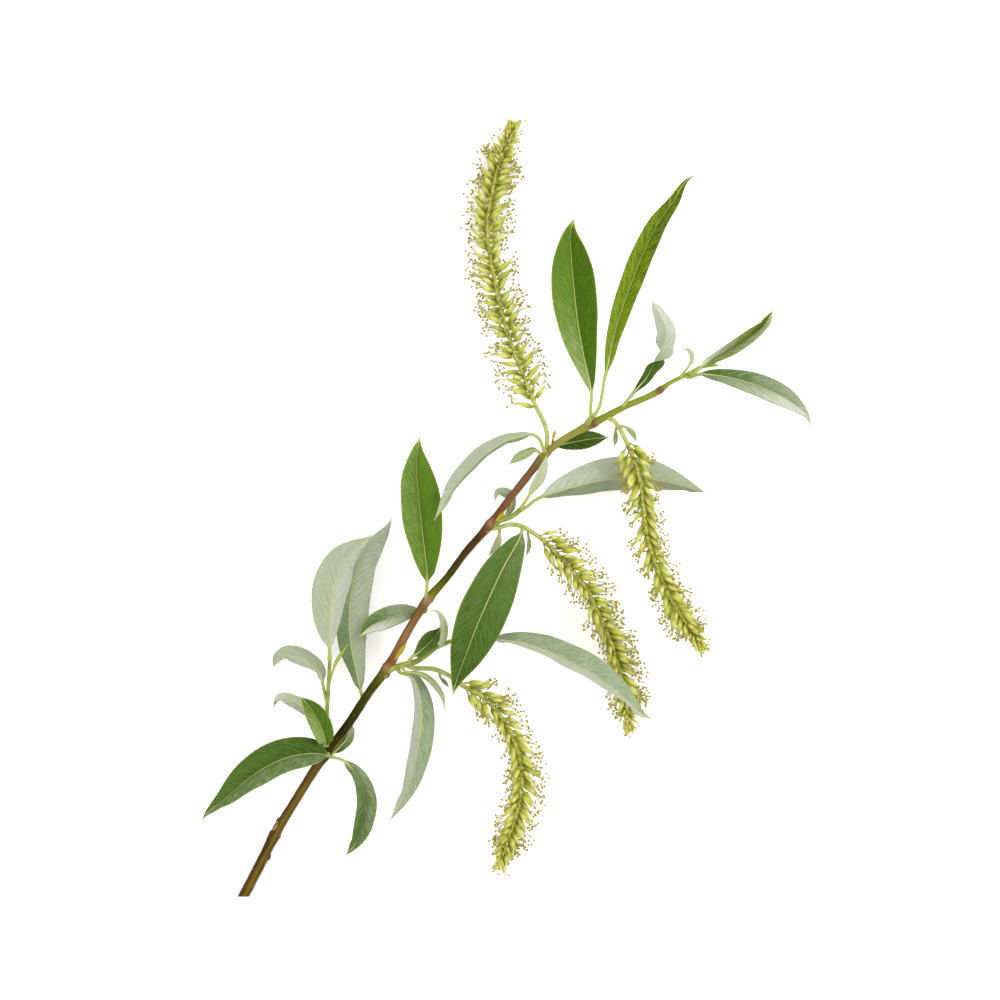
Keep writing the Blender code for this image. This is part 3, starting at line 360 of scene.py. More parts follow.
CATKINS = [
    Catkin("catkin_top", "main_stem", (66, 56), 6.2, 3, 0.0, [
        (9.9, 12.6, 17.7), (10.2, 16.7, 17.8), (9.35, 20.5, 17.9), (7.5, 24.2, 18.0),
        (5.8, 28.7, 17.6), (2.3, 37.0, 15.4), (-1.2, 48.9, 11.4), (-3.7, 60.3, 8.0),
        (-4.7, 71.2, 6.0), (-3.3, 80.0, 5.2), (-0.4, 89.7, 4.8), (2.6, 96.9, 4.8)]),
    Catkin("catkin_low", "shoot_middle", (42, 38), 5.3, 5, CLEAR_OF_SURFACE, [
        (-24.6, -40.1, 13.6), (-23.3, -40.9, 12.8), (-21.1, -40.9, 12.9), (-18.5, -41.0, 13.2),
        (-14.8, -42.4, 13.2), (-11.6, -44.8, 13.0), (-5.1, -48.8, 12.2), (-0.2, -54.6, 11.2),
        (3.1, -62.6, 10.2), (3.9, -67.1, 9.7), (2.9, -75.9, 8.8), (0.0, -85.1, 7.8),
        (-2.0, -91.8, 7.2)]),
    Catkin("catkin_middle", "main_stem", (44, 38), 6.0, 5, CLEAR_OF_SURFACE, [
        (-3.9, -5.9, 16.9), (-1.5, -5.6, 16.6), (0.4, -5.0, 16.6), (2.3, -4.9, 16.8),
        (4.4, -5.6, 17.0), (7.75, -7.7, 16.8), (12.4, -12.1, 15.8), (18.7, -19.1, 13.6),
        (23.2, -27.3, 11.2), (26.7, -36.1, 9.2), (29.0, -44.4, 8.4), (30.4, -52.7, 8.2),
        (30.4, -57.5, 8.2)]),
    Catkin("catkin_right", "main_stem", (42, 38), 5.0, 4, CLEAR_OF_SURFACE, [
        (24.6, 22.0, 17.8), (26.75, 21.0, 17.8), (27.9, 19.6, 17.8), (29.0, 17.8, 17.9),
        (30.1, 15.5, 18.0), (32.9, 7.9, 18.0), (34.2, 0.4, 17.6), (35.4, -9.0, 16.4),
        (38.7, -18.2, 14.8), (42.9, -26.5, 13.0), (47.9, -33.9, 11.0), (49.7, -36.8, 10.2)]),
]


class Route:
    """A smooth curve through given points, read by its length from the start."""

    def __init__(self, points, diameters=None):
        points = np.array(points, dtype=float)
        knots = run_lengths(points)
        slopes = np.gradient(points, knots, axis=0)
        share = np.linspace(0.0, 1.0, DENSE_STEPS, endpoint=False)[:, None]
        spans = []
        for i, width in enumerate(np.diff(knots)):
            start = 2 * share**3 - 3 * share**2 + 1
            leave = (share**3 - 2 * share**2 + share) * width
            end = 3 * share**2 - 2 * share**3
            arrive = (share**3 - share**2) * width
            span = start * points[i] + leave * slopes[i]
            span = span + end * points[i + 1] + arrive * slopes[i + 1]
            spans.append(span)
        self.dense = np.vstack(spans + [points[-1:]])
        self.lengths = run_lengths(self.dense)
        self.length = self.lengths[-1]
        self.knots = self.lengths[::DENSE_STEPS]
        self.diameters = diameters

    def at(self, s):
        """The point at length s."""
        return np.array([np.interp(s, self.lengths, self.dense[:, axis]) for axis in range(3)])

    def frame(self, s, turn=0.0):
        """The forward, left and upward directions at length s, turned about the route."""
        ahead = self.at(min(s + FRAME_STEP, self.length))
        forward = unit(ahead - self.at(max(s - FRAME_STEP, 0.0)))
        left = unit(np.cross((0.0, 0.0, 1.0), forward))
        up = np.cross(forward, left)
        turned = math.cos(turn) * left + math.sin(turn) * up
        return forward, turned, np.cross(forward, turned)

    def radius(self, s):
        """The radius at length s."""
        return 0.5 * np.interp(s, self.knots, self.diameters)


def run_lengths(points):
    """The length along a row of points, at each point."""
    steps = np.linalg.norm(np.diff(points, axis=0), axis=1)
    return np.concatenate(([0.0], np.cumsum(steps)))


def unit(vector):
    """A vector of length one."""
    return np.asarray(vector) / np.linalg.norm(vector)


def circle(centre, frame_at, radius, sides):
    """Points round a circle across a route."""
    _, left, up = frame_at
    angles = 2 * math.pi * np.arange(sides) / sides
    return centre + radius * (np.cos(angles)[:, None] * left + np.sin(angles)[:, None] * up)


def smooth_step(value, low, high):
    """Rises from 0 at low to 1 at high."""
    share = min(1.0, max(0.0, (value - low) / (high - low)))
    return share * share * (3 - 2 * share)


def blade_width(u, widest):
    """A willow blade's half width at the share u of its length, as a share of its widest."""
    phase = u ** (math.log(0.5) / math.log(widest))
    power = 0.73 + max(0.0, u - widest)
    return math.sin(math.pi * min(phase, 1.0)) ** power if 0.0 < u < 1.0 else 0.0


def stem_radius(route, s):
    """The stem's radius, with the swellings at its nodes."""
    y = route.at(s)[1]
    swelling = 0.0
    for node_y in STEM_NODES_Y:
        swelling += NODE_SWELLING * math.exp(-(((y - node_y) / NODE_SWELLING_LENGTH) ** 2))
    return route.radius(s) + swelling * min(1.0, route.radius(s))


class Pieces:
    """Gathers lofted tubes and blades into one mesh, with its UV maps and material slots."""

    def __init__(self):
        self.points = []
        self.faces = []
        self.slots = []
        self.place = []
        self.share = []
        self.tone = []

    def loft(self, rings, slot, place=None, share=None, tone=None, column_slots=None):
        """Adds a closed surface over rings that all have the same number of points."""
        rings = np.asarray(rings, dtype=float)
        count, sides = rings.shape[:2]
        base = len(self.points)
        self.points.extend(rings.reshape(-1, 3))
        blank = np.zeros((count * sides, 2))
        self.place.extend(blank if place is None else np.asarray(place).reshape(-1, 2))
        self.share.extend(blank if share is None else np.asarray(share).reshape(-1, 2))
        self.tone.extend(blank if tone is None else np.asarray(tone).reshape(-1, 2))
        for i in range(count - 1):
            for j in range(sides):
                k = (j + 1) % sides
                a = base + i * sides
                self.faces.append((a + j, a + k, a + sides + k, a + sides + j))
                self.slots.append(slot if column_slots is None else column_slots[j])
        self.faces.append(tuple(base + j for j in reversed(range(sides))))
        self.faces.append(tuple(base + (count - 1) * sides + j for j in range(sides)))
        self.slots.extend([slot if column_slots is None else column_slots[0]] * 2)

    def finish(self, name, materials, nodes, slot, sharp_degrees=50):
        """Makes the object, which rides on the branch and stands for the solids it replaces."""
        mesh = bpy.data.meshes.new(name)
        points = (np.array(self.points) + np.array(SHIFT)) * MM
        mesh.from_pydata(points.tolist(), [], self.faces)
        corners = np.empty(len(mesh.loops), dtype=np.int64)
        mesh.loops.foreach_get("vertex_index", corners)
        for layer_name, values in (("place", self.place), ("share", self.share), ("tone", self.tone)):
            layer = mesh.uv_layers.new(name=layer_name)
            layer.data.foreach_set("uv", np.array(values)[corners].ravel())
        for material in materials:
            mesh.materials.append(material)
        mesh.polygons.foreach_set("material_index", self.slots)
        mesh.shade_smooth()
        mesh.set_sharp_from_angle(angle=math.radians(sharp_degrees))
        mesh.validate()
        item = bpy.data.objects.new(name, mesh)
        bpy.context.scene.collection.objects.link(item)
        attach(item, "root")
        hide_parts(*nodes)
        return item


class Shader:
    """Builds one material's nodes."""

    def __init__(self, name):
        self.material = bpy.data.materials.new(name)
        self.material.use_nodes = True
        self.tree = self.material.node_tree
        self.principled = self.tree.nodes["Principled BSDF"]

    def set(self, socket, value):
        """Links a socket's value, or sets it where it is a plain number or colour."""
        if isinstance(value, bpy.types.NodeSocket):
            self.tree.links.new(value, socket)
        elif isinstance(value, tuple) and len(value) == 3 and socket.type == "RGBA":
            socket.default_value = (*value, 1.0)
        else:
            socket.default_value = value

    def node(self, kind, **settings):
        """A new node with the given settings."""
        made = self.tree.nodes.new(kind)
        for key, value in settings.items():
            setattr(made, key, value)
        return made

    def math(self, operation, *values):
        """A Math node's result."""
        made = self.node("ShaderNodeMath", operation=operation)
        for socket, value in zip(made.inputs, values):
            self.set(socket, value)
        return made.outputs[0]

    def times(self, first, second):
        """A product."""
        return self.math("MULTIPLY", first, second)

    def plus(self, first, second):
        """A sum."""
        return self.math("ADD", first, second)

    def minus(self, first, second):
        """A difference."""
        return self.math("SUBTRACT", first, second)

    def ramp(self, value, low, high, start=0.0, end=1.0):
        """A smooth rise from start at low to end at high."""
        made = self.node("ShaderNodeMapRange", interpolation_type="SMOOTHSTEP")
        for socket, number in zip(made.inputs, (value, low, high, start, end)):
            self.set(socket, number)
        return made.outputs[0]

    def mix(self, factor, first, second):
        """Two colours mixed by a factor."""
        made = self.node("ShaderNodeMix", data_type="RGBA")
        self.set(made.inputs["Factor"], factor)
        self.set(made.inputs[6], first)
        self.set(made.inputs[7], second)
        return made.outputs[2]

    def uv(self, layer):
        """The two parts of a UV map."""
        parts = self.node("ShaderNodeSeparateXYZ")
        self.tree.links.new(self.node("ShaderNodeUVMap", uv_map=layer).outputs[0], parts.inputs[0])
        return parts.outputs[0], parts.outputs[1]

    def combined(self, x, y, z=0.0):
        """A vector made of three parts."""
        made = self.node("ShaderNodeCombineXYZ")
        for socket, value in zip(made.inputs, (x, y, z)):
            self.set(socket, value)
        return made.outputs[0]

    def object_mm(self):
        """The place on the object in millimetres."""
        scaled = self.node("ShaderNodeMapping")
        self.tree.links.new(self.node("ShaderNodeTexCoord").outputs["Object"], scaled.inputs[0])
        scaled.inputs["Scale"].default_value = (1.0 / MM, 1.0 / MM, 1.0 / MM)
        return scaled.outputs[0]

    def noise(self, vector, scale, detail=3.0, roughness=0.55):
        """Fractal noise between 0 and 1."""
        made = self.node("ShaderNodeTexNoise")
        self.set(made.inputs["Vector"], vector)
        made.inputs["Scale"].default_value = scale
        made.inputs["Detail"].default_value = detail
        made.inputs["Roughness"].default_value = roughness
        return made.outputs[0]

    def cells(self, vector, scale, feature="DISTANCE_TO_EDGE"):
        """The distance in a Voronoi pattern."""
        made = self.node("ShaderNodeTexVoronoi", feature=feature)
        self.set(made.inputs["Vector"], vector)
        made.inputs["Scale"].default_value = scale
        return made.outputs["Distance"]

    def finish(self, colour, roughness, height=None, bump_mm=0.05, specular=0.5, sheen=0.0):
        """Connects the colour, the roughness and the bump, and returns the material."""
        self.set(self.principled.inputs["Base Color"], colour)
        self.set(self.principled.inputs["Roughness"], roughness)
        self.principled.inputs["Specular IOR Level"].default_value = specular
        self.principled.inputs["Sheen Weight"].default_value = sheen
        if height is not None:
            bump = self.node("ShaderNodeBump")
            bump.inputs["Distance"].default_value = bump_mm * MM
            bump.inputs["Strength"].default_value = 1.0
            self.set(bump.inputs["Height"], height)
            self.tree.links.new(bump.outputs[0], self.principled.inputs["Normal"])
        return self.material


def srgb(code):
    """The linear colour that looks like a hex colour under the studio's light."""
    values = [int(code[i:i + 2], 16) / 255 for i in (0, 2, 4)]
    linear = [v / 12.92 if v <= 0.04045 else ((v + 0.055) / 1.055) ** 2.4 for v in values]
    return tuple(v / LIGHT_LEVEL for v in linear)


def vein_pattern(shader):
    """How far a point of a blade lies from its midrib, its side veins and its margin."""
    along, across = shader.uv("place")
    share, edge = shader.uv("share")
    off_rib = shader.math("ABSOLUTE", across)
    wobble = shader.times(shader.noise(shader.combined(along, across), 0.35), 0.9)
    lean = shader.times(off_rib, VEIN_LEAN)
    curve = shader.times(shader.times(off_rib, off_rib), VEIN_CURVE)
    side = shader.times(shader.math("GREATER_THAN", across, 0.0), VEIN_OFFSET)
    run = shader.minus(shader.minus(along, lean), curve)
    run = shader.plus(shader.plus(run, side), wobble)
    to_vein = shader.math("PINGPONG", shader.math("DIVIDE", run, VEIN_PITCH), 0.5)
    to_vein = shader.times(to_vein, VEIN_PITCH)
    return along, across, share, edge, off_rib, to_vein


def leaf_material(name, colours, roughness, vein_share, streak_share, stalk="AEB964", sheen=0.0,
                  tip=None, tip_start=0.93, rib_size=0.25):
    """A blade's face: silky streaks over a ground that its tone map takes from dark to pale, as
    painted shade and painted sheen.
    """
    shader = Shader(name)
    dark, light, pale, rib, vein, margin = (srgb(code) for code in colours)
    along, across, share, edge, off_rib, to_vein = vein_pattern(shader)
    tone, _ = shader.uv("tone")
    flat = shader.combined(along, across)
    cosine, sine = math.cos(STREAK_ANGLE), math.sin(STREAK_ANGLE)
    down_streak = shader.plus(shader.times(along, STREAK_RATE[0] * cosine),
                              shader.times(off_rib, STREAK_RATE[0] * sine))
    over_streak = shader.minus(shader.times(off_rib, STREAK_RATE[1] * cosine),
                              shader.times(along, STREAK_RATE[1] * sine))
    side = shader.times(shader.math("GREATER_THAN", across, 0.0), 5.0)
    streaks = shader.noise(shader.combined(down_streak, over_streak, side), 1.0, 5.0, 0.75)
    streaks = shader.ramp(streaks, 0.3, 0.7)
    net = shader.ramp(shader.cells(flat, 1.9), 0.02, 0.16, 1.0, 0.0)
    patches = shader.noise(flat, 0.3, 4.0, 0.65)
    # Painted light: the tone map's shade and sheen, then random patches, streaks and the vein net.
    shade = shader.plus(tone, shader.times(shader.minus(patches, 0.5), 0.38))
    shade = shader.plus(shade, shader.times(shader.minus(streaks, 0.5), streak_share))
    shade = shader.plus(shade, shader.times(net, 0.12))
    ground = shader.mix(shader.ramp(shade, 0.0, 0.5), dark, light)
    ground = shader.mix(shader.ramp(shade, 0.5, 1.0), ground, pale)
    # Past 1 the ground turns to the near-white of painted sheen.
    ground = shader.mix(shader.ramp(shade, 1.0, 1.5), ground, srgb(PAINTED_SHEEN_COLOUR))
    fleck = shader.cells(flat, 2.4, "F1")
    ground = shader.mix(shader.ramp(fleck, 0.05, 0.16, 0.35, 0.0), ground, pale)
    vein_line = shader.ramp(to_vein, 0.03, 0.16, 1.0, 0.0)
    fade = shader.ramp(edge, 0.45, 0.95, 1.0, 0.15)
    vein_line = shader.times(vein_line, fade)
    ground = shader.mix(shader.times(vein_line, vein_share), ground, vein)
    margin_start = shader.ramp(share, 0.75, 1.0, 0.93, 0.55)
    margin_rise = shader.minus(edge, margin_start)
    ground = shader.mix(shader.ramp(margin_rise, 0.0, 0.3, 0.0, 0.75), ground, margin)
    ground = shader.mix(shader.ramp(edge, 0.94, 0.99, 0.0, 0.6), ground, margin)
    if tip is not None:
        ground = shader.mix(shader.ramp(share, tip_start, tip_start + 0.07, 0.0, 0.95), ground, srgb(tip))
    rib_width = shader.ramp(share, 0.0, 1.0, rib_size, rib_size * 0.3)
    rib_line = shader.ramp(shader.math("DIVIDE", off_rib, rib_width), 0.5, 1.0, 1.0, 0.0)
    ground = shader.mix(rib_line, ground, rib)
    colour = shader.mix(shader.ramp(share, 0.0, 0.04), srgb(stalk), ground)
    grain = shader.noise(flat, 6.0, 3.0)
    height = shader.minus(shader.plus(shader.times(grain, 0.3),
                                                 shader.times(streaks, 0.7)), vein_line)
    rough = shader.ramp(streaks, 0.0, 1.0, roughness - 0.06, roughness + 0.08)
    return shader.finish(colour, rough, height, 0.05, LEAF_SPECULAR, sheen)


def bark_material(name, stops, fleck_colour):
    """Young bark: its colour changes from node to node, and from a dark left flank over an olive
    middle to a tan right flank. The dark left flank is painted shade and the tan right flank a
    painted highlight, both fainter toward the young top."""
    shader = Shader(name)
    along, around = shader.uv("place")
    share, _ = shader.uv("share")
    flank, _ = shader.uv("tone")
    ramp = shader.node("ShaderNodeValToRGB")
    while len(ramp.color_ramp.elements) < len(stops):
        ramp.color_ramp.elements.new(0.5)
    for element, (position, colour) in zip(ramp.color_ramp.elements, sorted(stops)):
        element.position = position
        element.color = (*srgb(colour), 1.0)
    shader.set(ramp.inputs[0], share)
    ground = ramp.outputs[0]
    fibres = shader.noise(shader.combined(shader.times(along, 0.12),
                                          shader.times(around, 3.0)), 2.2, 5.0, 0.65)
    patches = shader.noise(shader.combined(shader.times(along, 0.18), around), 0.7, 3.0)
    uneven = shader.times(shader.minus(patches, 0.5), 0.5)
    side = shader.plus(flank, uneven)
    middle = shader.times(shader.ramp(side, 0.22, 0.36), shader.ramp(side, 0.5, 0.7, 1.0, 0.0))
    olive = shader.times(middle, shader.ramp(share, 0.17, 0.24, 0.7, 0.1))
    # Painted light, strongest on the older stem: shade on the left flank and a highlight on the right.
    painted_flank_light = shader.ramp(share, 0.74, 0.8, 1.0, 0.25)
    ground = shader.mix(olive, ground, srgb("76701A"))
    ground = shader.mix(shader.times(painted_flank_light, shader.ramp(side, 0.62, 1.0, 0.0, 0.5)), ground, srgb("46300F"))
    ground = shader.mix(shader.times(painted_flank_light, shader.ramp(side, 0.04, 0.22, 0.55, 0.0)), ground, srgb("A5825A"))
    ground = shader.mix(shader.ramp(fibres, 0.35, 0.75, 0.0, 0.4), ground, srgb("2E1E12"))
    flecks = shader.cells(shader.combined(shader.times(along, 0.55), around), 0.9, "F1")
    fleck = shader.ramp(flecks, 0.06, 0.12, 1.0, 0.0)
    colour = shader.mix(shader.times(fleck, 0.5), ground, fleck_colour)
    height = shader.plus(fibres, shader.times(fleck, 0.6))
    return shader.finish(colour, shader.ramp(fibres, 0.2, 0.8, 0.5, 0.65), height, 0.05, 0.03)


def plain_natural(name, dark, light, scale, roughness, bump_mm, sheen=0.0):
    """A mottled soft surface, for shoots, florets, filaments and anthers."""
    shader = Shader(name)
    place = shader.object_mm()
    mottle = shader.noise(place, scale, 4.0, 0.6)
    grain = shader.noise(place, scale * 6, 3.0)
    colour = shader.mix(shader.ramp(mottle, 0.3, 0.7), srgb(dark), srgb(light))
    rough = shader.ramp(grain, 0.2, 0.8, roughness - 0.08, roughness + 0.08)
    return shader.finish(colour, rough, grain, bump_mm, 0.08, sheen)


def floret_material():
    """A floret: darker green at its base, partly its own colour and partly painted shade, yellow
    along its body, with an orange-brown mouth.
    """
    shader = Shader("floret_body")
    share, _ = shader.uv("share")
    place = shader.object_mm()
    mottle = shader.noise(place, 0.7, 4.0, 0.6)
    grain = shader.noise(place, 6.0, 3.0)
    body = shader.mix(shader.ramp(mottle, 0.3, 0.7), srgb("BCC03A"), srgb("E2E08C"))
    # Darker olive toward the base: partly the floret's own green, partly painted shade.
    body = shader.mix(shader.ramp(share, 0.05, 0.6), srgb("929C22"), body)
    colour = shader.mix(shader.ramp(share, 0.8, 1.0, 0.0, 0.6), body, srgb("C8AA30"))
    shader.principled.inputs["Subsurface Weight"].default_value = 0.2
    shader.principled.inputs["Subsurface Radius"].default_value = (0.6 * MM, 0.5 * MM, 0.2 * MM)
    shader.principled.inputs["Subsurface Scale"].default_value = 1.0
    return shader.finish(colour, shader.ramp(grain, 0.2, 0.8, 0.5, 0.64), grain, 0.03, 0.08, 0.05)


# The faces of leaves, bracts and scales. Colours: the ground from dark over plain to pale, the
# midrib, the side veins and the margin; the tone map paints shade with the dark end and sheen with
# the pale end. Then the roughness and how strongly veins and streaks show.
TOP = ("2E4A0A", "526F2A", "94A280", "C4C98A", "86A05C", "6E8C20")
VIVID = ("3E6000", "5A7C20", "92A664", "C4CA86", "86A044", "86A01C")
YELLOW = ("465A12", "78920E", "98A47C", "BFC47A", "90A044", "6E8020")
APEX = ("4A6A00", "7A8E34", "A4AE86", "A8B440", "94A04C", "8A9A2C")
YOUNG = ("6A8214", "8C9C36", "AEB77C", "B6BC60", "98A64A", "A6AE42")
UNDER = ("728A5C", "A3AF92", "C5CCBB", "C6CA80", "A2AB74", "9AA848")
UNDER_YOUNG = ("748850", "A4AF88", "C4CAB2", "C0C66C", "A8B26A", "A6B048")
SCALE_GREEN = ("5C7A48", "86A070", "A8B894", "9CAA58", "889C4C", "969E2E")
SCALE_YELLOW = ("8A7614", "A8921E", "BDB150", "B4A83A", "A4982C", "ADA430")
SILKY = {"sheen": 0.05, "rib_size": 0.17}
BROWN_TIP = {"tip": "6A3F18", "tip_start": 0.85}
LEAF_FACES = {
    "top": (TOP, 0.45, 0.4, 0.3, {"tip": "93A02C"}),
    "top_brown_tip": (TOP, 0.45, 0.4, 0.3, BROWN_TIP),
    "top_vivid": (VIVID, 0.45, 0.36, 0.3, {"tip": "AAB22C"}),
    "top_yellow": (YELLOW, 0.45, 0.28, 0.65, {"tip": "A3A85A"}),
    "top_apex": (APEX, 0.45, 0.2, 0.7, {"tip": "8EA81C"}),
    "top_young": (YOUNG, 0.5, 0.2, 0.4, {}),
    "under": (UNDER, 0.62, 0.5, 0.25, SILKY),
    "under_brown_tip": (UNDER, 0.62, 0.5, 0.25, {**SILKY, **BROWN_TIP}),
    "under_yellow_tip": (UNDER, 0.62, 0.5, 0.25, {**SILKY, "tip": "A3A23C"}),
    "under_young": (UNDER_YOUNG, 0.60, 0.4, 0.25, {"sheen": 0.05, "rib_size": 0.2, "tip": "BDB030"}),
    "scale_green": (SCALE_GREEN, 0.55, 0.2, 0.6, {"tip": "7A5A2A"}),
    "scale_yellow": (SCALE_YELLOW, 0.55, 0.2, 0.6, {"stalk": "A05A22", "tip": "8F942C"}),
}


def leaf_materials():
    """The faces that the leaves are made of, by name."""
    made = {}
    for name, (colours, roughness, vein_share, streak_share, options) in LEAF_FACES.items():
        full_name = name if name.startswith("scale") else "leaf_" + name
        made[name] = leaf_material(full_name, colours, roughness, vein_share, streak_share, **options)
    return made


# How each leaf looks: the face toward the viewer and the one toward the surface, the depth of
# its edge's waves in millimetres, how far its halves bulge as a share of their width, and the
# tone of its left half at base and tip, then of its right half: 0 is dark, 0.5 is plain and 1
# is pale. On leaves the tone is painted light: painted shade toward 0 and painted sheen toward 1
# and above. Left and right are seen along the leaf from its base.
LOOKS = {
    "leaf_low_left": ("top", "under", 0.12, 0.05, (0.6, 0.6, 0.15, 0.45)),
    "leaf_low_upright": ("top_vivid", "under", 0.05, 0.05, (0.95, 0.45, 0.3, 0.1)),
    "leaf_low_curled": ("under_brown_tip", "top_brown_tip", 0.1, 0.03, (0.3, 0.9, 0.2, 0.9)),
    "leaf_low_behind": ("top", "under", 0.1, 0.03, (0.0, 0.9, 0.2, 1.1)),
    "leaf_low_right": ("top", "under", 0.1, 0.05, (0.75, 0.55, 0.7, 0.4)),
    "leaf_low_tall": ("under", "top", 0.12, 0.06, (0.55, 0.5, 0.8, 0.75)),
    "leaf_low_tall_back": ("under", "top", 0.15, 0.06, (-0.4, 0.8, 0.3, 0.75)),
    "young_leaf_low": ("top_young", "under_young", 0.05, 0.0, (0.5, 0.5, 0.5, 0.5)),
    "leaf_low_arched": ("under_yellow_tip", "top_vivid", 0.1, 0.03, (0.8, 0.7, 0.5, 0.4)),
    "leaf_mid_left": ("top", "under", 0.1, 0.06, (0.5, 1.9, 1.0, 0.4)),
    "leaf_mid_upright": ("top_vivid", "under", 0.12, 0.07, (0.55, 0.6, 0.25, 0.45)),
    "leaf_fold_left": ("under", "top", 0.05, 0.03, (0.1, 0.5, 0.35, 0.7)),
    "young_leaf_crown": ("under_young", "top_young", 0.05, 0.0, (0.2, 0.5, 0.1, 0.5)),
    "leaf_hook_back": ("under", "top", 0.05, 0.0, (0.1, 0.6, 0.1, 0.6)),
    "leaf_hook_front": ("under_young", "top_young", 0.05, 0.0, (0.7, 0.8, 0.6, 0.7)),
    "leaf_long_right": ("under", "top", 0.12, 0.05, (0.8, 0.4, 0.15, 0.3)),
    "leaf_crown_back": ("top", "under", 0.08, 0.05, (0.2, 0.2, 0.1, 0.1)),
    "leaf_large_front": ("top", "under", 0.15, 0.07, (0.6, 0.1, 0.5, 0.15)),
    "young_leaf_upper_low": ("under_young", "top_young", 0.05, 0.0, (0.7, 0.6, 0.6, 0.5)),
    "leaf_arching_right": ("under", "top", 0.1, 0.05, (0.15, 0.3, 0.8, 0.9)),
    "leaf_middle_upper": ("top", "under", 0.08, 0.05, (0.3, 0.2, 0.4, 0.3)),
    "leaf_middle_curled": ("under_young", "top_young", 0.05, 0.0, (0.6, 0.7, 0.6, 0.7)),
    "leaf_middle_drooping": ("under", "top", 0.1, 0.04, (0.15, 0.3, 0.8, 0.7)),
    "leaf_middle_narrow": ("under_young", "top", 0.05, 0.0, (0.0, 0.7, 0.0, 0.7)),
    "leaf_top_left": ("top_vivid", "under", 0.12, 0.06, (0.9, 0.2, 0.1, 0.0)),
    "leaf_top_long": ("top_yellow", "under", 0.08, 0.06, (0.5, 0.1, 0.5, -0.1)),
    "leaf_top_twisted": ("top", "under", 0.05, 0.03, (-0.1, 1.1, -0.1, 1.2)),
    "young_leaf_top": ("under_young", "top_young", 0.05, 0.0, (0.6, 0.8, 0.6, 0.8)),
    "leaf_apex_up": ("top_apex", "under", 0.04, 0.02, (1.7, -0.5, 0.5, 1.0)),
    "leaf_apex_right": ("top", "under", 0.1, 0.04, (0.35, 1.25, 0.6, 1.7)),
    "young_leaf_apex": ("top_young", "under_young", 0.05, 0.0, (0.5, 0.5, 0.5, 0.5)),
}
# Bracts and bud scales are flat with the same face on both sides, so their tones are enough.
SCALE_TONES = {
    "bract_top_left": (0.3, 0.5, 0.3, 0.5),
    "bract_top_right": (0.6, 0.6, 0.4, 0.4),
    "bract_middle": (0.1, 0.1, 0.1, 0.1),
    "bract_upper": (0.4, 0.4, 0.4, 0.4),
    "bud_scale_middle": (0.4, 0.4, 0.4, 0.4),
    "bud_scale_upper": (0.4, 0.4, 0.4, 0.4),
    "bud_scale_crown": (0.4, 0.4, 0.4, 0.4),
}
for scale_name, scale_tones in SCALE_TONES.items():
    scale_face = "scale_green" if scale_name.startswith("bract") else "scale_yellow"
    LOOKS[scale_name] = (scale_face, scale_face, 0.0, 0.0, scale_tones)


# Buds and leaf scars of the stem: y, degrees round from its left flank toward the viewer, how
# far its middle sits from the axis, half length, radius, and 1 for a pale scar or 2 for a bud.
STEM_BUMPS = [
    (-79.7, 18, 1.15, 1.0, 0.5, 2), (-81.2, 30, 0.85, 2.2, 0.8, 1),
    (-88.0, 172, 1.2, 1.2, 0.5, 2), (-89.0, 160, 0.95, 1.2, 0.6, 1),
    (-42.4, 150, 0.95, 0.7, 0.75, 1), (-42.0, 168, 1.3, 0.6, 0.4, 2),
    (-24.6, 25, 0.75, 0.7, 0.5, 1), (-6.2, 140, 0.75, 0.7, 0.62, 1),
    (10.2, 150, 0.7, 0.6, 0.5, 1), (19.6, 60, 0.55, 0.6, 0.42, 2), (27.6, 140, 0.5, 0.6, 0.4, 2),
]


def saw(value):
    """A tooth's outline: a slow rise toward the tip and a quick fall."""
    phase = value % 1.0
    return phase / 0.75 if phase < 0.75 else (1.0 - phase) / 0.25


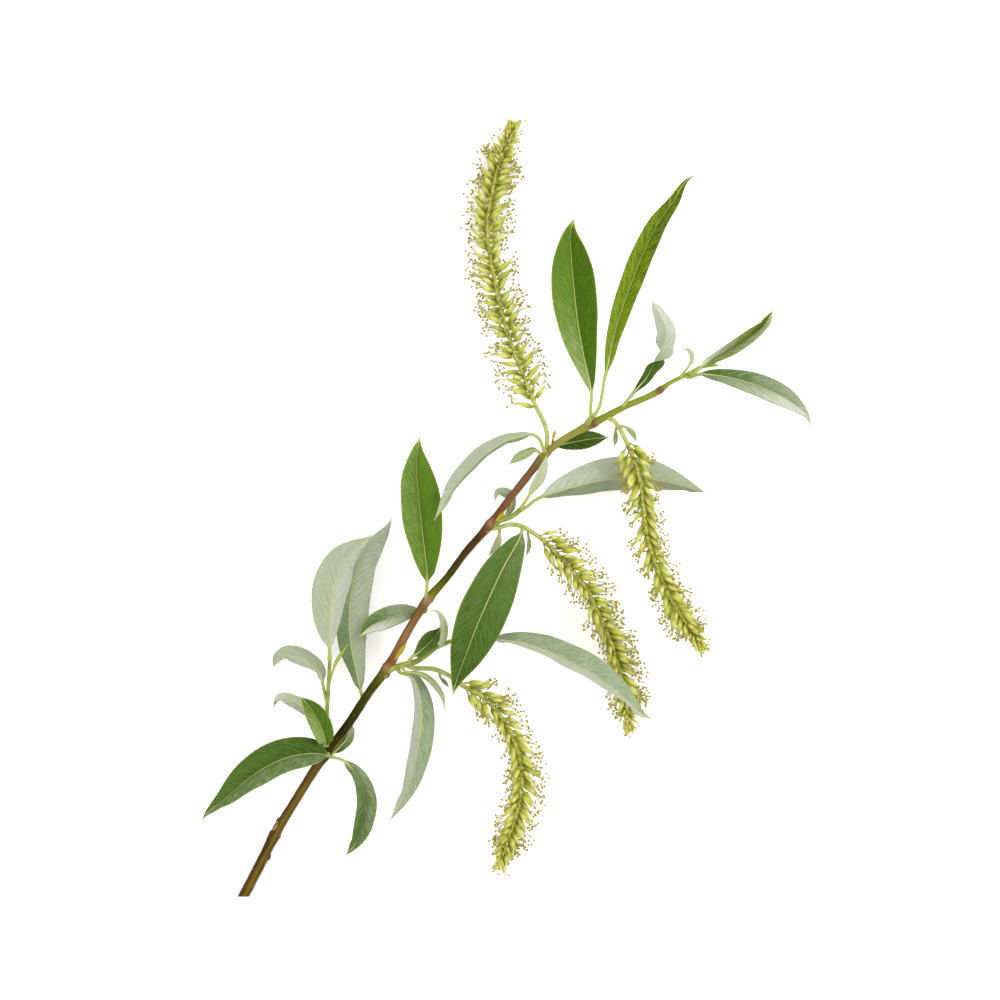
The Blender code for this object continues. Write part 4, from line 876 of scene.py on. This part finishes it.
def blade_section(leaf, centre, frame_at, s, u, half_width, look, columns, phase):
    """One ring across a blade: the near face from left to right, then the far face back."""
    _, left, up = frame_at
    _, _, wave, bulge, _ = look
    fold = min(1.0, max(0.0, (half_width - 0.4) / 1.4))
    across = np.abs(columns)
    on_left = columns < 0
    angle = np.where(on_left, math.radians(leaf.raised[0]), math.radians(leaf.raised[1])) * fold
    sign = np.where(on_left, 1.0, -1.0)
    out = sign[:, None] * np.cos(angle)[:, None] * left + np.sin(angle)[:, None] * up
    lift = -sign[:, None] * np.sin(angle)[:, None] * left + np.cos(angle)[:, None] * up
    teeth = TOOTH_DEPTH * min(1.0, half_width / 2.0) * saw(s / TOOTH_PITCH + phase)
    width = half_width * across + teeth * smooth_array(across, 0.86, 1.0)
    run = s - VEIN_LEAN * width - VEIN_CURVE * width**2 + np.where(on_left, 0.0, VEIN_OFFSET)
    pucker = PUCKER_HEIGHT * fold * np.cos(2 * math.pi * run / VEIN_PITCH) * 4 * across * (1 - across)
    turns = s / WAVE_LENGTH + np.where(on_left, 0.0, WAVE_OFFSET)
    edge_wave = wave * fold * across**2 * np.sin(2 * math.pi * turns + phase)
    hump = bulge * half_width * 4 * across * (1 - across)
    rise = pucker + edge_wave + hump
    middle = centre + width[:, None] * out + rise[:, None] * lift
    crease = unit(lift[0] + lift[-1])
    crease_share = np.exp(-((width / CREASE_HALF_WIDTH) ** 2))[:, None]
    normal = lift * (1 - crease_share) + crease * crease_share
    rib_size = min(1.0, half_width / 2.5) * (1 - 0.7 * u)
    groove = RIB_GROOVE * rib_size * np.exp(-((width / RIB_HALF_WIDTH) ** 2))
    ridge = RIB_RIDGE * rib_size * np.exp(-((width / RIB_HALF_WIDTH) ** 2))
    half_thick = BLADE_THICKNESS / 2 * (1 - 0.45 * across)
    top_shows = leaf.raised[0] + leaf.raised[1] >= 0
    near = half_thick + (-groove if top_shows else ridge)
    far = half_thick + (ridge if top_shows else -groove)
    front = middle + near[:, None] * normal
    back = middle - far[:, None] * normal
    return np.vstack((front, back[::-1])), np.where(on_left, -width, width)


def smooth_array(values, low, high):
    """smooth_step for an array."""
    share = np.clip((values - low) / (high - low), 0.0, 1.0)
    return share * share * (3 - 2 * share)


def nearest_point(points, place):
    """The point of a route that lies nearest to a place."""
    return points[np.linalg.norm(points - place, axis=1).argmin()]


def make_leaf(leaf, materials, hosts):
    """A fine blade on its stalk, whose base sinks into its host."""
    look = LOOKS[leaf.name]
    half_count = HALF_COLUMNS_SMALL
    if leaf.half_width > LARGE_HALF_WIDTH:
        half_count = HALF_COLUMNS
    elif leaf.half_width > MEDIUM_HALF_WIDTH:
        half_count = HALF_COLUMNS_MEDIUM
    route = Route(leaf.route)
    stalk_radius = min(STALK_RADIUS, 0.24 + 0.1 * leaf.half_width)
    inward = nearest_point(hosts[leaf.host], route.at(0.0)) - route.at(0.0)
    blade_start = max(route.knots[leaf.stalk], 1.1)
    blade_length = route.length - blade_start
    columns = np.linspace(-1.0, 1.0, 2 * half_count + 1)
    columns = np.sign(columns) * np.abs(columns) ** 0.85
    sides = 2 * len(columns)
    phase = (sum(map(ord, leaf.name)) % 17) / 17.0
    stalk = list(np.linspace(0.0, blade_start, max(3, int(blade_start / STALK_PITCH)), endpoint=False))
    blade = list(np.linspace(blade_start, route.length, max(14, int(blade_length / BLADE_PITCH))))
    spread = np.linspace(math.radians(14), math.radians(166), len(columns))
    around = np.concatenate((spread, spread + math.pi))
    rings = []
    place = []
    share = []
    tone = []
    left_base, left_tip, right_base, right_tip = look[4]
    on_left = smooth_array(-columns, -0.08, 0.08)
    for s in stalk + blade:
        u = max(0.0, (s - blade_start) / blade_length)
        frame_at = route.frame(s, math.radians(leaf.twist) * smooth_step(u, *TWIST_RANGE))
        centre = route.at(s) + inward * math.exp(-((s / SINK_LENGTH) ** 2))
        base_swell = 1.0 + 0.45 * math.exp(-((s / 1.3) ** 2))
        radius = stalk_radius * base_swell
        outward = np.cos(around)[:, None] * frame_at[1] + np.sin(around)[:, None] * frame_at[2]
        tube = centre + radius * outward
        half_width = leaf.half_width * blade_width(u, leaf.widest)
        half_width = max(half_width, stalk_radius if u < 0.5 else TIP_HALF_WIDTH)
        flat, off_rib = blade_section(leaf, centre, frame_at, s, u, half_width, look, columns, phase)
        opened = smooth_step(u, 0.0, 0.07)
        ring = (1 - opened) * tube + opened * flat
        ring[:, 2] = np.maximum(ring[:, 2], 0.0)
        rings.append(ring)
        off_both = np.concatenate((off_rib, off_rib[::-1]))
        edge = np.abs(np.concatenate((columns, columns[::-1])))
        place.append(np.column_stack((np.full(sides, s), off_both)))
        share.append(np.column_stack((np.full(sides, u), edge)))
        # Painted light: each half's shade and sheen, from its base tone to its tip tone.
        left_painted_light = left_base + (left_tip - left_base) * u
        right_painted_light = right_base + (right_tip - right_base) * u
        painted_light_row = left_painted_light * on_left + right_painted_light * (1 - on_left)
        tone.append(np.column_stack((np.concatenate((painted_light_row, painted_light_row[::-1])), np.zeros(sides))))
    half = len(columns)
    column_slots = [0] * half + [1] * half
    pieces = Pieces()
    pieces.loft(rings, 0, place, share, tone, column_slots)
    slot = "bud_scale" if leaf.name.startswith(("bract", "bud")) else "leaf"
    faces = [materials[look[0]], materials[look[1]]]
    return pieces.finish(leaf.name + "_blade", faces, [leaf.name], slot, 55)


def stem_stops():
    """The bark's colours from the cut end to the apex, placed by the nodes of the stem."""
    route = Route([row[:3] for row in STEM])
    nodes = [route.lengths[np.abs(route.dense[:, 1] - y).argmin()] / route.length for y in STEM_NODES_Y]
    base, low, middle, mid_leaf, upper, crown, top, young = nodes
    return [
        (0.0, "5E4020"), (base - 0.01, "503418"), (base + 0.01, "66441F"),
        (low - 0.015, "6B5028"), (low + 0.006, "343602"), (low + 0.05, "1C2400"),
        (middle - 0.03, "363E02"), (middle - 0.004, "6B6A1C"), (middle + 0.004, "A9805C"),
        (middle + 0.012, "8A5638"), (middle + 0.05, "A67650"), (mid_leaf - 0.012, "7A5C32"),
        (mid_leaf, "B08C6A"), (mid_leaf + 0.01, "7C7C14"), (mid_leaf + 0.04, "474F04"),
        (mid_leaf + 0.075, "453014"), (upper - 0.02, "50301A"), (upper - 0.002, "7A5030"),
        (upper + 0.005, "B08260"), (upper + 0.014, "7C4A34"), (crown - 0.02, "876046"),
        (crown + 0.006, "90863C"), (crown + 0.04, "9C9650"), (top - 0.008, "959A40"),
        (top + 0.003, "824A38"), (top + 0.012, "8A9834"), (young - 0.006, "94A040"),
        (young + 0.004, "7E4A42"), (young + 0.014, "92A23C"), (1.0, "9CA842"),
    ]


def add_bump(pieces, route, y, around, out, half_length, radius, slot):
    """A bud or a leaf scar: a rounded body that lies along the stem and leans on its flank."""
    s = route.lengths[np.abs(route.dense[:, 1] - y).argmin()]
    forward, left, up = route.frame(s)
    turn = math.radians(around)
    outward = math.cos(turn) * left + math.sin(turn) * up
    rings = []
    for t in np.linspace(-0.97, 0.97, 11):
        width = math.sqrt(1 - t * t) if t < 0 else (1 - t) ** 0.55
        centre = route.at(s) + out * outward + t * half_length * unit(forward + 0.12 * outward)
        rings.append(circle(centre, (forward, left, up), radius * width, 12))
    pieces.loft(rings, slot)


def make_tube(name, rows, radius_at, pitch, sides, materials, slot, clamp=False, bumps=()):
    """A stem or shoot as one fine tube, with its buds and scars."""
    route = Route([row[:3] for row in rows], [row[3] for row in rows])
    rings = []
    place = []
    share = []
    tone = []
    angles = 2 * math.pi * np.arange(sides) / sides
    for s in np.linspace(0.0, route.length, int(route.length / pitch)):
        frame_at = route.frame(s)
        centre = route.at(s)
        radius = radius_at(route, s)
        ring = circle(centre, frame_at, radius, sides)
        if clamp and s == 0.0:
            forward = frame_at[0]
            ring = ring + forward * ((STEM_CUT_Y - ring[:, 1]) / forward[1])[:, None]
        if clamp:
            ring[:, 2] = np.maximum(ring[:, 2], 0.0)
            ring[:, 1] = np.maximum(ring[:, 1], STEM_CUT_Y)
        rings.append(ring)
        place.append(np.column_stack((np.full(sides, s), np.abs(angles - math.pi) * radius)))
        share.append(np.column_stack((np.full(sides, s / route.length), np.zeros(sides))))
        # Where each point sits round the tube, from which the bark paints shade on the left flank and a
        # highlight on the right.
        tone.append(np.column_stack((0.5 + 0.5 * np.cos(angles), 0.5 + 0.5 * np.sin(angles))))
    pieces = Pieces()
    pieces.loft(rings, 0, place, share, tone)
    for bump in bumps:
        add_bump(pieces, route, *bump)
    return pieces.finish(name + "_bark", materials, [name], slot, 60)


def fine_stem_radius(route, s):
    """The stem's radius with swellings, narrow scar rings at its nodes and a slight unevenness."""
    y = route.at(s)[1]
    ring = 0.0
    for node_y in STEM_NODES_Y:
        ring += NODE_RING * math.exp(-(((y - node_y - 0.5) / 0.4) ** 2))
    uneven = 0.02 * math.sin(0.9 * s) + 0.015 * math.sin(2.3 * s + 1.0)
    return stem_radius(route, s) + ring * min(1.0, route.radius(s)) + uneven


def stamen(pieces, root, direction, reach, floor, draw):
    """A thin curved filament with a grooved anther at its end."""
    bend = unit(np.array([draw.gauss(0, 1), draw.gauss(0, 1), draw.gauss(0, 1)]))
    tip = root + reach * direction
    if tip[1] > REACH_LIMIT_Y:
        return
    tip[2] = max(tip[2], floor + ANTHER_RADIUS)
    middle = (root + tip) / 2 + bend * 0.14 * reach
    rings = []
    path = [root, middle * 0.75 + root * 0.25, middle * 0.8 + tip * 0.2, tip]
    along = unit(tip - root)
    side = unit(np.cross(along, (0.31, 0.17, 0.93)))
    frame_at = (along, side, np.cross(along, side))
    for point in path:
        rings.append(circle(point, frame_at, FILAMENT_RADIUS, 4))
    pieces.loft(rings, 2)
    turn = draw.uniform(0, math.pi)
    across = math.cos(turn) * frame_at[1] + math.sin(turn) * frame_at[2]
    lobe_axis = unit(across + 0.5 * along)
    other = unit(np.cross(lobe_axis, side + 0.01))
    lobe_frame = (lobe_axis, other, np.cross(lobe_axis, other))
    groove = 1.0 - 0.25 * np.cos(2 * math.pi * np.arange(ANTHER_SIDES) / ANTHER_SIDES) ** 4
    anther = []
    for share, width in ANTHER_PROFILE:
        centre = tip + share * ANTHER_LENGTH * lobe_axis
        ring = circle(centre, lobe_frame, ANTHER_RADIUS * width, ANTHER_SIDES)
        ring = centre + (ring - centre) * groove[:, None]
        ring[:, 2] = np.maximum(ring[:, 2], 0.0)
        anther.append(ring)
    pieces.loft(anther, 3)


def make_floret(pieces, catkin, route, first, i, count, draw):
    """A flask-shaped floret on its stalk, with its stamens."""
    share = (i + 0.5 + draw.uniform(-0.5, 0.5)) / count
    share = 1.0 - (1.0 - share) ** TIP_CROWDING
    s = first + share * (route.length - first - TIP_MARGIN)
    forward, left, up = route.frame(s)
    around = i * GOLDEN_ANGLE + draw.uniform(-0.5, 0.5)
    outward = math.cos(around) * left + math.sin(around) * up
    loose = catkin.lean[0] < LOOSE_BELOW
    near_tip = smooth_step(share, 0.8, 0.95)
    last = smooth_step(share, 0.93, 1.0)
    facing = max(0.0, outward[2] - 0.35) / 0.65
    if facing > 0.2 and near_tip < 0.5 and (i % 2 or facing > 0.8):
        return
    lean = catkin.lean[0] + share * (catkin.lean[1] - catkin.lean[0])
    lean = lean + draw.uniform(-LEAN_SCATTER, LEAN_SCATTER)
    lean = lean + (6 if loose else 0) + FRONT_LEAN * facing * (1 - near_tip)
    lean = math.radians(min(STEEPEST_LEAN, lean + 10 * near_tip) * (1 - 0.55 * last))
    size = (1.0 - 0.4 * near_tip) * draw.uniform(0.8, 1.12) * (1.0 - 0.3 * facing)
    direction = unit(math.sin(lean) * outward + math.cos(lean) * forward + np.array(DRIFT[catkin.name]))
    base = route.at(s) + 0.7 * AXIS_RADIUS * outward
    stalk = (1.6 - 1.25 * smooth_step(share, 0.0, 0.3)) * size if loose else 0.4 * size
    length = FLORET_LENGTH * size
    radius = FLORET_RADIUS * size
    mouth = base + (stalk + 0.97 * length) * direction
    if mouth[1] > REACH_LIMIT_Y:
        return
    side = unit(np.cross(direction, forward + 0.01))
    frame_at = (direction, side, np.cross(direction, side))
    sag = (forward - direction * forward.dot(direction)) * 0.12 * length
    rings = [circle(base, frame_at, 0.2, FLORET_SIDES)]
    along = [np.zeros((FLORET_SIDES, 2))]
    for share_along, width in FLORET_PROFILE:
        centre = base + (stalk + share_along * length) * direction + sag * share_along**2
        ring = circle(centre, frame_at, radius * width, FLORET_SIDES)
        ring[:, 2] = np.maximum(ring[:, 2], 0.02)
        rings.append(ring)
        along.append(np.full((FLORET_SIDES, 2), share_along))
    pieces.loft(rings, 1, share=along)
    mouth = mouth + sag
    reach = REACH_SHARE * catkin.reach * size / math.sin(max(lean, 0.6)) - stalk - length
    reach = min(max(SHORTEST_FILAMENT, reach), LONGEST_FILAMENT) * (1.0 - 0.6 * near_tip)
    stamens = STAMENS if direction[2] < 0.4 else i % 2
    if near_tip > 0.5:
        stamens = i % 2
    if last > 0.5:
        stamens = 1 if i % 3 == 0 else 0
    for k in range(stamens):
        spin = 2 * math.pi * (k + draw.uniform(-0.3, 0.3)) / stamens
        spread = math.cos(spin) * frame_at[1] + math.sin(spin) * frame_at[2]
        aim = unit(direction + draw.uniform(0.15, 0.75) * spread)
        start = mouth + 0.28 * radius * spread
        stamen(pieces, start, aim, reach * draw.uniform(0.4, 1.0), catkin.floor, draw)


def make_catkin(catkin, materials):
    """A stalk and axis with florets all round it."""
    draw = random.Random(RANDOM_SEED + len(catkin.name) + int(abs(catkin.route[0][0])))
    route = Route(catkin.route)
    first = route.knots[catkin.stalk]
    pieces = Pieces()
    rings = []
    stalk_rings = int(first / AXIS_PITCH)
    for s in np.linspace(0.0, route.length - STICK_MARGIN, int(route.length / AXIS_PITCH)):
        taper = 0.45 * smooth_step(s, 0.7 * route.length, route.length)
        thinning = smooth_step(s, first - 2, first + 4)
        radius = PEDUNCLE_RADIUS + (AXIS_RADIUS - PEDUNCLE_RADIUS) * thinning
        radius = radius * (1 - taper) + 0.18 * math.exp(-((s / 1.1) ** 2))
        ring = circle(route.at(s), route.frame(s), radius, AXIS_SIDES)
        flute = 1.0 + 0.10 * np.cos(5 * 2 * math.pi * np.arange(AXIS_SIDES) / AXIS_SIDES + 0.35 * s)
        rings.append(route.at(s) + (ring - route.at(s)) * flute[:, None])
    pieces.loft(rings[:stalk_rings + 2], 4)
    pieces.loft(rings[stalk_rings + 1:], 0)
    count = int(FLORETS_PER_MM * (route.length - first))
    for i in range(count):
        make_floret(pieces, catkin, route, first, i, count, draw)
    return pieces.finish(catkin.name + "_florets", materials, [catkin.name], "catkin", 70)


def make_branch():
    """Every piece of the branch."""
    bark = bark_material("bark_young", stem_stops(), srgb("B79A74"))
    bumps = [bark, plain_natural("leaf_scar", "7E5E44", "AC8C74", 1.5, 0.6, 0.04),
             plain_natural("stem_bud", "3C2616", "6E4A32", 1.2, 0.55, 0.04)]
    make_tube("main_stem", STEM, fine_stem_radius, STEM_PITCH, STEM_SIDES, bumps, "bark", True, STEM_BUMPS)
    green = plain_natural("shoot_green", "7C8C34", "A2B05A", 0.5, 0.5, 0.03, 0.1)
    for name, rows in SHOOTS.items():
        make_tube(name, rows, lambda route, s: route.radius(s) + 0.25 * math.exp(-((s / 1.2) ** 2)),
                  STALK_PITCH, SHOOT_SIDES, [green], "green_shoot")
    faces = leaf_materials()
    hosts = {"main_stem": Route([row[:3] for row in STEM]).dense}
    hosts.update({name: Route([row[:3] for row in rows]).dense for name, rows in SHOOTS.items()})
    hosts.update({catkin.name: Route(catkin.route).dense for catkin in CATKINS})
    for leaf in LEAVES:
        make_leaf(leaf, faces, hosts)
    yellow = [
        plain_natural("catkin_axis", "70721A", "D0CC66", 1.1, 0.6, 0.04, 0.1),
        floret_material(),
        plain_natural("stamen_filament", "A8A650", "C8C47C", 2.0, 0.5, 0.01),
        plain_natural("anther_gold", "9A8C22", "C4B03C", 3.0, 0.65, 0.03),
        plain_natural("catkin_stalk", "A2AE58", "C2C980", 0.6, 0.55, 0.03, 0.1),
    ]
    for catkin in CATKINS:
        make_catkin(catkin, yellow)


def make_floor():
    """A pale matte floor."""
    mesh = bpy.data.meshes.new("floor")
    half = FLOOR_HALF_WIDTH
    corners = [(-half, -half, 0), (half, -half, 0), (half, half, 0), (-half, half, 0)]
    mesh.from_pydata(corners, [], [(0, 1, 2, 3)])
    shader = Shader("floor_pale")
    fine = shader.noise(shader.object_mm(), 0.2, 2.0)
    colour = shader.mix(fine, (0.965, 0.965, 0.96), (0.98, 0.98, 0.975))
    mesh.materials.append(shader.finish(colour, 0.9, specular=0.1))
    floor = bpy.data.objects.new("floor", mesh)
    bpy.context.scene.collection.objects.link(floor)


def add_light(name, place, size, power):
    """A soft rectangular light aimed at the branch."""
    light = bpy.data.lights.new(name, "AREA")
    light.shape = "RECTANGLE"
    light.size = size[0]
    light.size_y = size[1]
    light.energy = power
    item = bpy.data.objects.new(name, light)
    item.location = place
    item.rotation_euler = (-Vector(place)).to_track_quat("-Z", "Y").to_euler()
    bpy.context.scene.collection.objects.link(item)


def make_studio():
    """Soft light from all round, with a large window of light at the upper right."""
    scene = bpy.context.scene
    world = bpy.data.worlds.new("studio")
    world.use_nodes = True
    background = world.node_tree.nodes["Background"]
    background.inputs[0].default_value = (1.0, 0.985, 0.955, 1.0)
    background.inputs[1].default_value = SKY_LIGHT * LIGHT_LEVEL
    scene.world = world
    scene.view_settings.view_transform = "Standard"
    add_light("window", (0.8, 0.5, 1.1), (0.9, 0.9), WINDOW_POWER * LIGHT_LEVEL)
    add_light("fill", (-0.9, -0.3, 1.0), (0.9, 0.9), FILL_POWER * LIGHT_LEVEL)


def make_camera():
    """Straight above the branch, with a long lens, framed as the photograph is."""
    data = bpy.data.cameras.new("camera")
    data.sensor_width = SENSOR_WIDTH
    view_width = MM_PER_PIXEL * IMAGE_PIXELS * MM
    data.lens = SENSOR_WIDTH * (CAMERA_HEIGHT - BRANCH_HEIGHT) / view_width
    data.clip_end = 10.0
    camera = bpy.data.objects.new("camera", data)
    camera.location = ((IMAGE_CENTRE[0] + SHIFT[0]) * MM, (IMAGE_CENTRE[1] + SHIFT[1]) * MM, CAMERA_HEIGHT)
    bpy.context.scene.collection.objects.link(camera)
    bpy.context.scene.camera = camera


make_camera()
make_studio()
make_floor()
make_branch()
